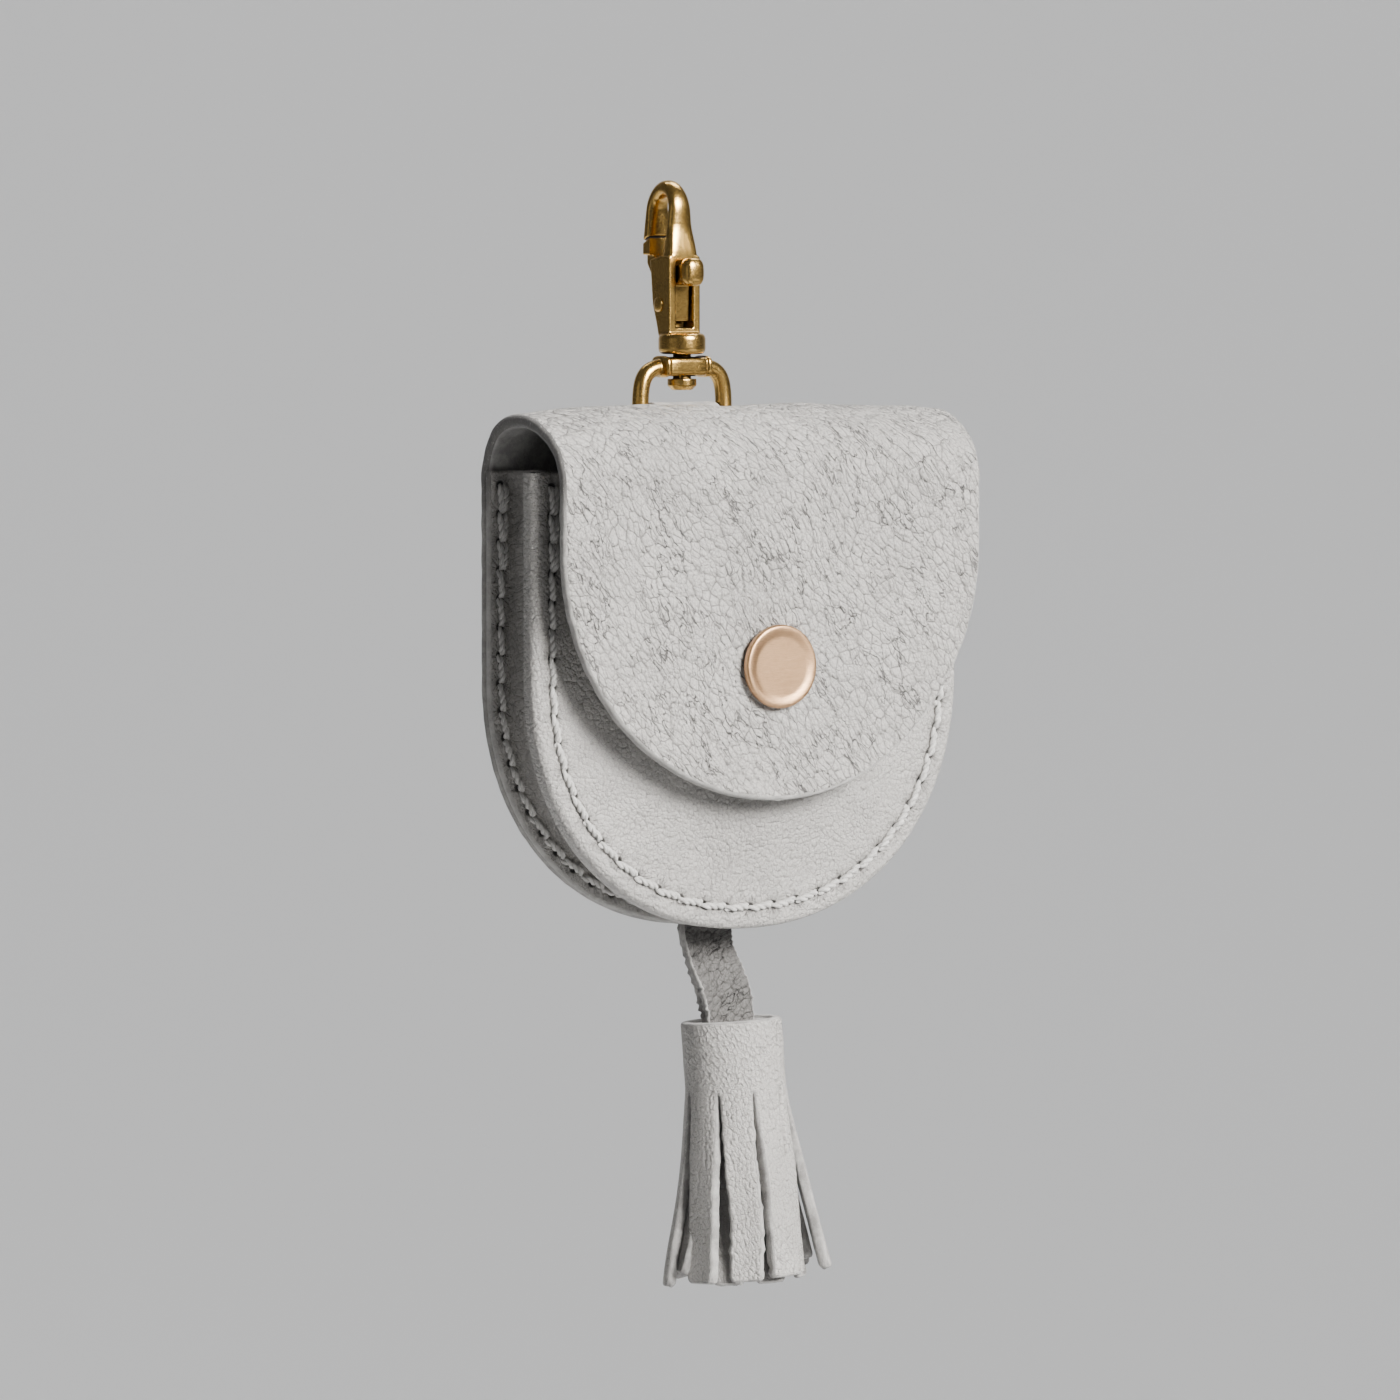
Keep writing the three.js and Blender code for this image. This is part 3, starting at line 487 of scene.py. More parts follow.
def cast_metal(name, bright, worn, deep, rough=0.27, tarnish=0.5):
    """Plated metal with a dark wash of patina left in its hollows, painted shade where other metal closes it in,
    and rubbed bright on its edges.
    """
    graph = Graph(name)
    where = graph.place()
    cloud = graph.noise(where, 0.38, 4.0, 0.6)["Fac"]
    speck = graph.noise(where, 2.8, 4.0, 0.65)["Fac"]
    bend = graph.node("NewGeometry")["Pointiness"]
    hollow = graph.span(bend, 0.505, 0.46)
    ridge = graph.span(bend, 0.515, 0.56)
    # Painted shade: ambient occlusion darkens what other metal closes in, such as the plate inside the gate's
    # slot.
    open_sky = graph.node("AmbientOcclusion", {"Distance": 1.6 * MM})["AO"]
    hollow = graph.math("MAXIMUM", hollow, graph.span(open_sky, 0.75, 0.40))
    stain_and_shade = graph.math("MAXIMUM", hollow, graph.times(graph.span(cloud, 0.50, 0.70), tarnish))
    colour = graph.mix(graph.span(speck, 0.15, 0.75), worn, bright)
    colour = graph.mix(stain_and_shade, colour, deep)
    colour = graph.mix(graph.times(ridge, 0.8), colour, dimmed(bright, 1.15))
    gloss = graph.math("ADD", graph.span(speck, 0.2, 0.8, rough - 0.03, rough + 0.04), graph.times(stain_and_shade, 0.18))
    normal = graph.bump(graph.sum(graph.times(speck, 0.3), cloud), 0.03)
    return graph.finish(Base_Color=colour, Metallic=1.0, Roughness=gloss, Normal=normal)


def brushed_cap(name, bright, deep):
    """The snap's face: fine lines across it and a darker wash towards its rim."""
    graph = Graph(name)
    where = graph.place()
    lines = graph.noise(graph.moved(where, (0.9, 1.0, 14.0)), 0.9, 4.0, 0.7)["Fac"]
    cloud = graph.noise(where, 0.5, 3.0, 0.6)["Fac"]
    hollow = graph.span(graph.node("NewGeometry")["Pointiness"], 0.503, 0.47)
    colour = graph.mix(graph.span(lines, 0.32, 0.72, 0.0, 0.75), bright, deep)
    colour = graph.mix(graph.times(graph.span(cloud, 0.45, 0.7), 0.35), colour, deep)
    colour = graph.mix(graph.times(hollow, 0.85), colour, dimmed(deep, 0.3))
    return graph.finish(Base_Color=colour, Metallic=1.0, Roughness=graph.span(lines, 0.3, 0.7, 0.30, 0.46),
                        Normal=graph.bump(lines, 0.02))


LEATHER = (0.50, 0.48, 0.457)

HIDE_GRAIN = dict(size=1.15, stretch=1.8, turn=0.62, depth=0.60, dark=0.26, crease=1.25)
hide_skin = pebbled("hide_grain", LEATHER, **HIDE_GRAIN)
back_skin = pebbled("hide_grain_sewn", LEATHER, seam=(BACK_MARGIN, PITCH), **HIDE_GRAIN)
front_skin = pebbled("front_grain", LEATHER, size=0.70, stretch=1.5, depth=0.26, fine=0.03, rough=0.46,
                     seam=(FRONT_MARGIN, PITCH), dark=0.45, crease=0.4, solid=True)
# Painted shade: the gusset is the same leather made a little darker, for the side that faces away from the light.
gusset_skin = pebbled("gusset_grain", dimmed(LEATHER, 0.9), size=0.95, stretch=1.3, depth=0.22,
                      seam=(FRONT_MARGIN - 1.3, PITCH))
# Painted shade: the strap is the same leather made far darker, with near-black creases, for the shade it hangs in.
shaded_strap_skin = pebbled("strap_grain_shaded", dimmed(LEATHER, 0.30), size=1.0, turn=-1.1, depth=0.50,
                     dark=0.10, crease=1.0)
tassel_skin = pebbled("tassel_grain", dimmed(LEATHER, 1.06), size=0.60, stretch=1.4, turn=0.3,
                      depth=0.30, dark=0.36, crease=0.4)
# Painted shade: the inner turns of the tassel are the same leather made darker, for the shade between the outer
# strips.
shaded_inner_skin = pebbled("inner_tassel_grain_shaded", dimmed(LEATHER, 0.45), size=0.62, stretch=1.5, turn=0.3,
                     depth=0.22, dark=0.4, crease=0.5)
flesh = suede("flesh_side", (0.24, 0.232, 0.224), (0.50, 0.485, 0.47))
# The cut edges above the mouth get a painted shade.
raw_edge = suede("cut_edge", (0.30, 0.29, 0.275), (0.54, 0.525, 0.505), nap=0.12, shade_above=(0.13, 0.125, 0.12))
pale_edge = suede("pale_cut_edge", (0.24, 0.232, 0.222), (0.52, 0.505, 0.485), nap=0.20)
ply = thread("sewing_thread", (0.62, 0.605, 0.58))
brass = cast_metal("antique_brass", (0.68, 0.43, 0.13), (0.50, 0.30, 0.08), (0.05, 0.028, 0.010), rough=0.22,
                   tarnish=0.45)
copper = cast_metal("antique_copper", (0.62, 0.42, 0.32), (0.45, 0.29, 0.21), (0.10, 0.06, 0.045))
cap_face = brushed_cap("brushed_copper", (0.66, 0.41, 0.23), (0.42, 0.24, 0.125))


# The hide: back panel, arch and flap

ARCH = [(0.0, -3.0), (0.0, 0.0), (1.3, 3.7), (2.9, 6.2), (5.5, 7.9), (8.4, 8.6), (11.6, 8.65), (14.2, 8.1),
        (16.6, 7.1), (19.3, 5.4), (21.3, 3.2), (22.4, 0.9), (22.8, -1.6), (22.8, -4.6)]


def smooth_route(points, step=0.15):
    """An even Catmull-Rom curve through points."""
    points = np.asarray(points, float)
    padded = np.concatenate([[2 * points[0] - points[1]], points, [2 * points[-1] - points[-2]]])
    parts = []
    for at in range(len(points) - 1):
        a, b, c, d = padded[at:at + 4]
        t = np.linspace(0, 1, 24, endpoint=False)[:, None]
        parts.append(0.5 * (2 * b + (c - a) * t + (2 * a - 5 * b + 4 * c - d) * t ** 2
                            + (3 * b - a - 3 * c + d) * t ** 3))
    return resampled(np.concatenate(parts + [points[-1:]]), step)


def resampled(points, step):
    run = run_of(points)
    count = max(2, int(round(run[-1] / step)) + 1)
    at = np.linspace(0, run[-1], count)
    return np.stack([np.interp(at, run, points[:, k]) for k in range(points.shape[1])], -1)


def hide_route():
    """The outer face's middle line in Y and Z, from the foot of the back to the flap's tip."""
    back = [(REAR, z) for z in np.linspace(FOOT, MOUTH - 3.2, 90)]
    arch = [(REAR - y, MOUTH + z) for y, z in ARCH]
    arch = smooth_route(arch).tolist()
    levels = np.linspace(MOUTH - 5.0, FLAP_TIP, 120)
    kicked = np.clip((FLAP_TIP + KICK_RUN - levels) / KICK_RUN, 0, None) ** 2 * KICK
    flap = [(FLAP_FACE - k, z) for k, z in zip(kicked, levels)]
    return resampled(np.array(back + arch + flap), 0.05)


def lines_along(length, fine, step):
    """Places along a leather, close together at both ends and evenly spaced between them."""
    inner = np.arange(fine[-1] + step, length - fine[-1] - step * 0.5, step)
    inner = np.linspace(inner[0], length - fine[-1] - step, len(inner))
    return np.concatenate([fine, inner, (length - fine)[::-1]])


def hide_piece():
    """One leather from the foot of the back, over the arch, to the flap's tip. Levels run along it and x
    across it, and inset is the distance in from its cut edge."""
    route = hide_route()
    run = np.arange(len(route)) * np.linalg.norm(np.diff(route, axis=0), axis=1).mean()
    levels = lines_along(run[-1], EDGE_STEPS, 0.85)
    y = np.interp(levels, run, route[:, 0])
    z = np.interp(levels, run, route[:, 1])
    slope = np.gradient(route, axis=0)
    slope /= np.linalg.norm(slope, axis=1)[:, None]
    out_y = np.interp(levels, run, slope[:, 1])
    out_z = np.interp(levels, run, -slope[:, 0])
    size = np.hypot(out_y, out_z)
    out_y, out_z = out_y / size, out_z / size
    back_centre = CENTRE - FOOT
    mouth = back_centre + MOUTH - CENTRE
    flap_centre = run[-1] - (FLAP_CENTRE - FLAP_TIP) - 0.1
    straight = HALF + (FLAP_HALF - HALF) * smoothstep(levels, mouth, mouth + 38)
    low = np.clip(back_centre - levels, 0, back_centre * 0.99999)
    high = np.clip(levels - flap_centre, 0, FLAP_HALF * 0.99999)
    half = np.where(low > 0, HALF * (1 - (low / HALF) ** FULLNESS) ** (1 / FULLNESS), straight)
    half = np.where(high > 0, np.sqrt(FLAP_HALF ** 2 - high ** 2), half)
    half = np.maximum(half, 0.5)
    columns = 2 * len(EDGE_STEPS) + 78
    x = np.zeros((len(levels), columns))
    for at, reach in enumerate(half):
        rim = EDGE_STEPS * min(1.0, reach / 9.0)
        inner = np.linspace(-(reach - rim[-1]), reach - rim[-1], columns - 2 * len(rim) + 2)[1:-1]
        x[at] = np.concatenate([-(reach - rim), inner, (reach - rim)[::-1]])
    s = np.repeat(levels[:, None], columns, axis=1)

    on_back = inset_of(x, s, HALF, FULLNESS, back_centre)
    past = np.maximum(s - flap_centre, 0)
    on_flap = np.where(past > 0, FLAP_HALF - np.hypot(x, past), straight[:, None] - np.abs(x))
    inset = np.maximum(np.minimum(on_back, on_flap), 0.0)

    # The arch's crown, long and short waves, the sewing's groove and the edge pressed thin by it
    crown = np.interp(levels, run, np.clip((route[:, 1] - MOUTH) / 8.7, 0, 1)) * 1.1
    wide = Ripple(26.0)
    small = Ripple(8.5)
    ahead = smoothstep(s, mouth, mouth + 12)
    lift = crown[:, None] * (1 - (x / straight[:, None]) ** 2)
    lift = lift + ahead * (wide(x, s) * 0.16 + small(x, s) * 0.045) * smoothstep(inset, 0.0, 5.0)
    lift = lift + (1 - ahead) * small(x, s) * 0.03 * smoothstep(inset, 0.0, 3.0)
    groove = 0.16 * np.exp(-((inset - BACK_MARGIN) / 0.75) ** 2) * (1 - smoothstep(s, mouth - 2, mouth))
    soft = Ripple(3.1)
    half_thick = eased(inset, HIDE / 2, 0.85)
    pressed = 0.62 * (1 - smoothstep(inset, 4.6, 7.5)) * (1 - smoothstep(s, mouth - 4.4, mouth - 0.4))
    out = np.stack([np.zeros_like(x), np.repeat(out_y[:, None], columns, 1),
                    np.repeat(out_z[:, None], columns, 1)], -1)
    middle = np.stack([x, np.repeat(y[:, None], columns, 1), np.repeat(z[:, None], columns, 1)], -1)
    middle = middle + out * (lift - HIDE / 2)[..., None]
    face = middle + out * (half_thick - groove)[..., None]
    back = middle - out * (half_thick - pressed + 0.04 * soft(x, s) * smoothstep(inset, 0.2, 1.0))[..., None]
    uneven = 0.04 * soft(s, x * 0.6) * np.exp(-inset / 0.8)
    face[..., 0] -= np.sign(x) * uneven
    back[..., 0] -= np.sign(x) * uneven

    # Each place's share of the seam's length, for the sewing marks
    seam_line, seam_in, _ = outline(0.25)
    offset = seam_line + seam_in * BACK_MARGIN
    offset_run = run_of(offset)
    flat = np.stack([x, s + FOOT], -1)
    near = np.zeros(x.shape)
    for at in range(len(levels)):
        reach = ((flat[at][:, None] - offset[None]) ** 2).sum(-1)
        near[at] = offset_run[reach.argmin(-1)]
    piece = sheet_piece("pouch_hide", face, back, np.stack([x, s], -1), np.stack([near, inset], -1),
                        [hide_skin, flesh, raw_edge, back_skin], edge_reach=0.42)

    # The back below the mouth gets the skin that shows the sewing
    mesh = piece.data
    middles = np.empty(len(mesh.polygons) * 3)
    mesh.polygons.foreach_get("center", middles)
    middles = middles.reshape(-1, 3) / MM - SWIVEL
    index = np.empty(len(mesh.polygons), np.int32)
    mesh.polygons.foreach_get("material_index", index)
    rear = (index == 0) & (middles[:, 1] > REAR - 1.0) & (middles[:, 2] < MOUTH - 0.5)
    index[rear] = 3
    mesh.polygons.foreach_set("material_index", index)
    return piece


hide = hide_piece()
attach(hide, "pouch")
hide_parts("back_and_flap")


# The front panel, its edge turned round the gusset's flange

def lathe_rows(top):
    """The outline with its inward headings, its length, and the middle line that its rows run to."""
    line, inward, run = outline(0.45, top)
    core = np.stack([np.zeros(len(line)), np.where(line[:, 1] < CENTRE, CENTRE, line[:, 1])], -1)
    return line, inward, run, core


def front_profiles():
    """The panel's two faces from the end of its turned lip to its middle, as reach in and Y."""
    lip_end, lip_start, corner = -15.8, -16.9, 1.4
    face = [(0.9 * (1 - math.sin(turn)), lip_end + 0.9 * math.cos(turn))
            for turn in np.linspace(0, math.pi / 2, 5)]
    face += [(0.0, y) for y in np.linspace(lip_end - 0.25, lip_start, 4)]
    face += [(corner * (1 - math.cos(turn)), FLANGE + corner * (1 - math.sin(turn)))
             for turn in np.linspace(0, math.pi / 2, 8)[1:]]
    flat = np.array([1.65, 1.9, 2.2, 2.5, 2.8, 3.05, 3.3, 3.55, 3.8, 4.1, 4.5, 5.0, 5.4])
    rise = np.linspace(6.0, 20.2, 20)
    for reach in np.concatenate([flat, rise]):
        bulge = 2.4 * (1 - math.cos(math.pi * np.clip((reach - 5.2) / 15.0, 0, 1))) / 2
        groove = 0.30 * math.exp(-((reach - FRONT_MARGIN) / 0.7) ** 2)
        face.append((reach, FLANGE - bulge + groove))
    lip_thick, back = 1.2, []
    for reach, y in face:
        if y > -17.65 and reach < 1.3:
            back.append((lip_thick, min(y, lip_end + 0.8)))
        else:
            groove = 0.3 * math.exp(-((reach - FRONT_MARGIN) / 0.7) ** 2) if reach < 4 else 0.0
            back.append((max(reach, lip_thick), max(y, DOME) + PANEL - groove))
    return np.array(face), np.array(back)


def front_piece():
    """The panel, swept in from the outline to its middle line, its edge turned back as a lip."""
    line, inward, run, core = lathe_rows(MOUTH - 0.1)
    face_line, back_line = front_profiles()
    far = np.linspace(0, 1, 14)[1:]
    rows, columns = len(line), len(face_line) + len(far)
    face, back = np.zeros((rows, columns, 3)), np.zeros((rows, columns, 3))
    inset = np.zeros((rows, columns))
    length = np.linalg.norm(core - line, axis=1)
    for at in range(rows):
        heading = (core[at] - line[at]) / length[at]
        for target, profile in ((back, back_line), (face, face_line)):
            reach = np.concatenate([profile[:, 0], profile[-1, 0] + (length[at] - profile[-1, 0]) * far])
            share = smoothstep(reach, 2, 9)[:, None]
            spot = line[at] + (inward[at] * (1 - share) + heading * share) * reach[:, None]
            spot[-1] = core[at]
            target[at, :, 0], target[at, :, 2] = spot[:, 0], spot[:, 1]
            target[at, :, 1] = np.concatenate([profile[:, 1], np.full(len(far), profile[-1, 1])])
        inset[at] = reach

    # Small waves, and a ripple that the stitches pull into the margin
    pull = Ripple(5.5)
    wave = Ripple(19.0)
    lift = wave(face[..., 0], face[..., 2]) * 0.10 * smoothstep(inset, 4, 12)
    lift += (pull(face[..., 0], face[..., 2]) * 0.05 * smoothstep(inset, 0.4, 2.0)
             * (1 - smoothstep(inset, 24, 32)))
    stitch = np.cos(2 * math.pi * run[:, None] / PITCH)
    ripple = stitch * 0.07 * np.exp(-((inset - FRONT_MARGIN) / 1.2) ** 2)
    face[..., 1] -= (lift + ripple) * (1 - smoothstep(inset, 22, 30))

    # Texture coordinates. The sewing marks stay off the lip and off the middle.
    along = run_of(line + inward * FRONT_MARGIN)
    path = run_of(face_line)
    path = np.concatenate([path, path[-1] + 20 * far])
    seam_in = np.concatenate([np.where(face_line[:, 1] > -17.5, -2.0, face_line[:, 0]), 40 + 20 * far])
    seam = np.stack(np.broadcast_arrays(along[:, None], seam_in[None, :]), -1)
    on_rim = np.stack(np.broadcast_arrays(along[:, None], path[None, :]), -1)
    grain = np.where(path[None, :, None] < 6.0, on_rim, face[..., [0, 2]])
    return sheet_piece("front_leather", face, back, grain, seam, [front_skin, flesh, raw_edge],
                       edge_reach=-99, core=True)


front = front_piece()
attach(front, "pouch")
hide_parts("front_panel")


# The gusset

def strap_bay(x, z):
    """How far the gusset gives way to the strap's end between it and the back, at the pouch's foot."""
    return 3.5 * (1 - smoothstep(np.abs(x) - 9.9, 0, 9)) * (z < CENTRE)


def gusset_piece():
    """A U-shaped strip round the outline: a flange behind the front, two bends, a flange on the back."""
    line, inward, run = outline(0.6)
    front_y, back_y = FLANGE + PANEL + CLEAR + GUSSET / 2, BACK_FLANGE + 0.6
    middle_y = (front_y + back_y) / 2
    bend, width, sag = 2.3, 5.2, 0.9
    spine = [(1.35, front_y), (width - bend, front_y)]
    spine += [(width - bend + bend * math.sin(a), front_y + bend * (1 - math.cos(a)))
              for a in np.linspace(0, math.pi / 2, 6)[1:]]
    spine += [(width + sag * math.sin(math.pi * t), front_y + bend + (back_y - front_y - 2 * bend) * t)
              for t in np.linspace(0, 1, 9)[1:-1]]
    spine += [(width - bend + bend * math.cos(a), back_y - bend + bend * math.sin(a))
              for a in np.linspace(0, math.pi / 2, 6)]
    spine += [(0.05, back_y)]
    spine = resampled(np.array(spine), 0.42)
    length = run_of(spine)
    end = np.minimum(length, length[-1] - length)
    rows = len(line)
    x, z = line[:, :1], line[:, 1:]
    share = smoothstep(spine[None, :, 1], middle_y, back_y)
    y = np.repeat(spine[None, :, 1], rows, axis=0) - strap_bay(x, z) * share
    reach = np.repeat(spine[None, :, 0], rows, axis=0)
    pull = Ripple(9.0)
    reach = reach + 0.22 * pull(run[:, None] + 0 * y, y * 1.5) * smoothstep(end, 3.5, 7.0)[None, :]
    middle = np.stack([x + inward[:, :1] * reach, y, z + inward[:, 1:] * reach], -1)
    normal = normals_of(middle)
    thin = 0.1 * smoothstep(spine[:, 1], middle_y, back_y)
    half = eased(end, GUSSET / 2 - thin, 0.4)[None, :, None]
    face, back = middle + normal * half, middle - normal * half
    grain = np.stack(np.broadcast_arrays(run[:, None], length[None, :]), -1)
    seam = np.stack(np.broadcast_arrays(run[:, None], end[None, :]), -1)
    return sheet_piece("gusset_strip", face, back, grain, seam, [gusset_skin, gusset_skin, raw_edge],
                       edge_reach=0.35)


gusset = gusset_piece()
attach(gusset, "pouch")
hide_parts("gusset")


# Sewing

def sew(tubes, start, end, out, slant=0.45, lift=0.42, shift=0.0):
    """One stitch of two-ply thread between two needle holes on a surface that faces out."""
    start, end, out = (np.asarray(v, float) for v in (start, end, out))
    along = unit(end - start)
    side = np.cross(out, along)
    start = start + side * (shift - slant * 0.5) + along * 0.15
    end = end + side * (shift + slant * 0.5) - along * 0.15
    length = float(np.linalg.norm(end - start))
    t = np.linspace(0, 1, 15)[:, None]
    rise = lift - (lift + 0.8) * np.abs(2 * t - 1) ** 6
    middle = start + (end - start) * t + out * rise
    middle += along * 0.35 * np.sign(t - 0.5) * np.abs(2 * t - 1) ** 5
    phase = random.uniform(0, 2 * math.pi)
    turn = 2 * math.pi * length * t / 2.3 + phase
    for flip in (1, -1):
        tubes.add(middle + flip * 0.26 * (np.cos(turn) * side + np.sin(turn) * out), 0.34)


def sew_row(tubes, margin, depth, out):
    """Stitches along the pouch outline at one distance in, sewn twice at both ends. Depth gives the
    surface's Y."""
    line, inward, _ = outline(0.25)
    offset = line + inward * margin
    length = run_of(offset)
    holes = (np.arange(int(length[-1] / PITCH)) + 0.5) * PITCH
    spots = [np.array([np.interp(u, length, offset[:, 0]), 0.0, np.interp(u, length, offset[:, 1])])
             for u in holes]
    for spot in spots:
        spot[1] = depth(spot[0], spot[2])
    stitches = len(spots) - 1
    for at in range(stitches):
        sew(tubes, spots[at], spots[at + 1], out)
    for at in (0, 1, 2, stitches - 1, stitches - 2, stitches - 3):
        sew(tubes, spots[at], spots[at + 1], out, slant=-0.3, lift=0.50, shift=0.62)


threads = Tubes()
sew_row(threads, FRONT_MARGIN, lambda x, z: FLANGE + 0.30, (0, -1, 0))
sew_row(threads, FRONT_MARGIN, lambda x, z: FLANGE + PANEL + CLEAR + GUSSET, (0, 1, 0))
front_thread = threads.piece("front_seam_thread", ply)
threads = Tubes()
sew_row(threads, BACK_MARGIN, lambda x, z: REAR - 0.16, (0, 1, 0))
sew_row(threads, BACK_MARGIN, lambda x, z: BACK_FLANGE - strap_bay(x, z), (0, -1, 0))
back_thread = threads.piece("back_seam_thread", ply)
for piece in (front_thread, back_thread):
    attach(piece, "pouch")


# The tab over the loop's bar

def tongue(name, route, half, ends, thickness, slots, out_sign, rough, waves, edge):
    """A strip along a route in 3-D with soft cut edges. Its ends are rounded by the radii in ends, or
    square where a radius is 0."""
    route = resampled(np.asarray(route, float), 0.3)
    run = np.arange(len(route)) * float(np.linalg.norm(route[1] - route[0]))
    levels = lines_along(run[-1], NARROW_STEPS, 0.5)
    middle = np.stack([np.interp(levels, run, route[:, k]) for k in range(3)], -1)
    ahead = unit(np.gradient(middle, levels, axis=0))
    side = np.tile([1.0, 0.0, 0.0], (len(levels), 1))
    side = unit(side - ahead * (side * ahead).sum(-1, keepdims=True))
    out = np.cross(side, ahead) * out_sign
    widths = np.full(len(levels), half)
    for at_end, radius in zip((levels, run[-1] - levels), ends):
        if radius:
            near = np.clip(radius - at_end, 0, radius)
            widths = np.minimum(widths, half - radius + np.sqrt(np.maximum(radius ** 2 - near ** 2, 0)))
    widths = np.maximum(widths, 0.3)
    inner = max(8, int(2 * half / 0.5))
    shares = []
    for reach in widths:
        rim = NARROW_STEPS * min(1.0, reach / 2.0)
        between = np.linspace(-(reach - rim[-1]), reach - rim[-1], inner)[1:-1]
        shares.append(np.concatenate([-(reach - rim), between, (reach - rim)[::-1]]))
    x = np.array(shares)
    s = np.repeat(levels[:, None], x.shape[1], 1)
    inset = widths[:, None] - np.abs(x)
    for at_end, radius in zip((levels, run[-1] - levels), ends):
        if radius:
            past = np.maximum(radius - at_end, 0)[:, None]
            corner = np.maximum(np.abs(x) - (half - radius), 0)
            inset = np.where(past > 0, np.minimum(inset, radius - np.hypot(corner, past)), inset)
        else:
            inset = np.minimum(inset, at_end[:, None])
    inset = np.maximum(inset, 0)
    jag, wave = Ripple(1.1), Ripple(6.5)
    ragged = x + np.sign(x) * rough * jag(s, x * 0) * np.exp(-inset / 0.6)
    place = middle[:, None] + side[:, None] * ragged[..., None]
    lift = waves * wave(x, s)
    half_thick = eased(inset, thickness / 2, edge)
    face = place + out[:, None] * (lift + half_thick)[..., None]
    back = place + out[:, None] * (lift - half_thick)[..., None]
    grain = np.stack([x, s], -1)
    seam = np.stack([s, inset], -1)
    return sheet_piece(name, face, back, grain, seam, slots, edge_reach=0.3)


TAB_FOOT, TAB_HALF, TAB_EYE = MOUTH - 17, 6.05, 2.2


def tab_route():
    """Up the back, forward round the bar and down inside, to a foot on the hide's inner face."""
    rear, sewn = -1.0, BAR - 7.5
    route = [(0, rear, z) for z in np.linspace(TAB_FOOT, sewn, 20)]
    route += bezier((0, rear, sewn), (0, rear, sewn + 3.0), (0, TAB_EYE, BAR - 3.0), (0, TAB_EYE, BAR),
                    16)[1:].tolist()
    route += [(0, TAB_EYE * math.cos(a), BAR + TAB_EYE * math.sin(a)) for a in np.linspace(0, math.pi, 22)[1:]]
    route += [(0, -TAB_EYE, z) for z in np.linspace(BAR, TAB_FOOT, 30)[1:]]
    return np.array(route, float)


tab = tongue("keeper_tab_leather", tab_route(), TAB_HALF, (6.0, 6.0), 1.18, [hide_skin, flesh, raw_edge],
             out_sign=1, rough=0.05, waves=0.03, edge=0.35)
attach(tab, "pouch")
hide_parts("keeper_tab")


def sew_tab(tubes):
    """Two rows down the tab that meet in an arc at its foot, and one row across its top."""
    reach, surface = 4.2, -0.42
    low, high = TAB_FOOT + TAB_HALF, BAR - 7.8
    side = [(reach, z) for z in np.arange(high, low, -2.9)]
    arc = [(reach * math.cos(a), low - reach * math.sin(a)) for a in np.linspace(0, math.pi, 6)]
    trail = side + arc + [(-x, z) for x, z in side[::-1]]
    pairs = [(a, b) for a, b in zip(trail[:-1], trail[1:]) if math.dist(a, b) > 1.2]
    pairs += [((a, high), (b, high)) for a, b in ((-4.2, -1.4), (-1.4, 1.4), (1.4, 4.2))]
    for (ax, az), (bx, bz) in pairs:
        sew(tubes, (ax, surface, az), (bx, surface, bz), (0, 1, 0), slant=0.2, lift=0.30)


threads = Tubes()
sew_tab(threads)
tab_thread = threads.piece("tab_thread", ply)
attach(tab_thread, "pouch")


# The strap and the tassel

def strap_route(shift_top, shift_end, aside):
    """From inside the back seam, out of the pouch's foot and down into the tassel's head."""
    edge = np.array([aside, STRAP_Y + shift_top, FOOT])
    entry = np.array([TASSEL_X + aside, TASSEL_Y + shift_end, HEAD_TOP])
    curve = bezier(edge, edge - [0, 0, 4.8], entry + [0, 0, 4.8], entry, 30)
    return np.concatenate([[edge + [0, 0, 4.6]], curve, [entry - [0, 0, 2.8]]])


for name, top, low, aside, sign in (("strap_front", -0.72, -1.0, -0.9, -1), ("strap_rear", 0.72, 0.9, -0.35, 1)):
    layer = tongue(name, strap_route(top, low, aside), 4.4, (0, 0), 1.35, [shaded_strap_skin, flesh, pale_edge],
                   out_sign=sign, rough=0.16, waves=0.12, edge=0.40)
    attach(layer, "pouch")
    if sign < 0:
        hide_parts("tassel_strap")


HEAD_RADIUS, HEAD_HEIGHT, STRIP, STRIP_LENGTH = 7.75, 10.2, 1.65, 30.0
LEAN = math.radians(4.6)
NOD = math.tan(math.radians(3.4))


def tassel_place(points):
    """From the tassel's own frame, with the head's top at its origin, to its place below the pouch."""
    points = np.asarray(points, float)
    x = points[..., 0] * math.cos(LEAN) - points[..., 2] * math.sin(LEAN)
    z = points[..., 0] * math.sin(LEAN) + points[..., 2] * math.cos(LEAN)
    nod = (z + 8) * NOD
    return np.stack([x + TASSEL_X - VIEW_OUT[0] * nod, points[..., 1] + TASSEL_Y - VIEW_OUT[1] * nod,
                     z + HEAD_TOP + (x * VIEW_OUT[0] + points[..., 1] * VIEW_OUT[1]) * NOD], -1)


class Shells:
    """Closed walls gathered into one mesh, with their UV layers and slots."""

    def __init__(self):
        self.points, self.grain, self.seam, self.quads, self.slots, self.count = [], [], [], [], [], 0

    def wall(self, face, back, grain, inset, rims, skin=0):
        points, quads, slots = closed_sheet(tassel_place(face), tassel_place(back), inset, 0.3, rims, skin)
        if volume_of(points, quads) < 0:
            quads = quads[:, ::-1]
        self.points.append(points)
        self.grain.append(twice(grain))
        self.seam.append(twice(np.stack([grain[..., 1], inset], -1)))
        self.quads.append(quads + self.count)
        self.slots.append(slots)
        self.count += len(points)

    def piece(self, name, slots):
        return mesh_piece(name, np.concatenate(self.points), np.concatenate(self.quads), slots,
                          np.concatenate(self.slots), (("grain", np.concatenate(self.grain)),
                                                       ("seam", np.concatenate(self.seam))), weld=True)


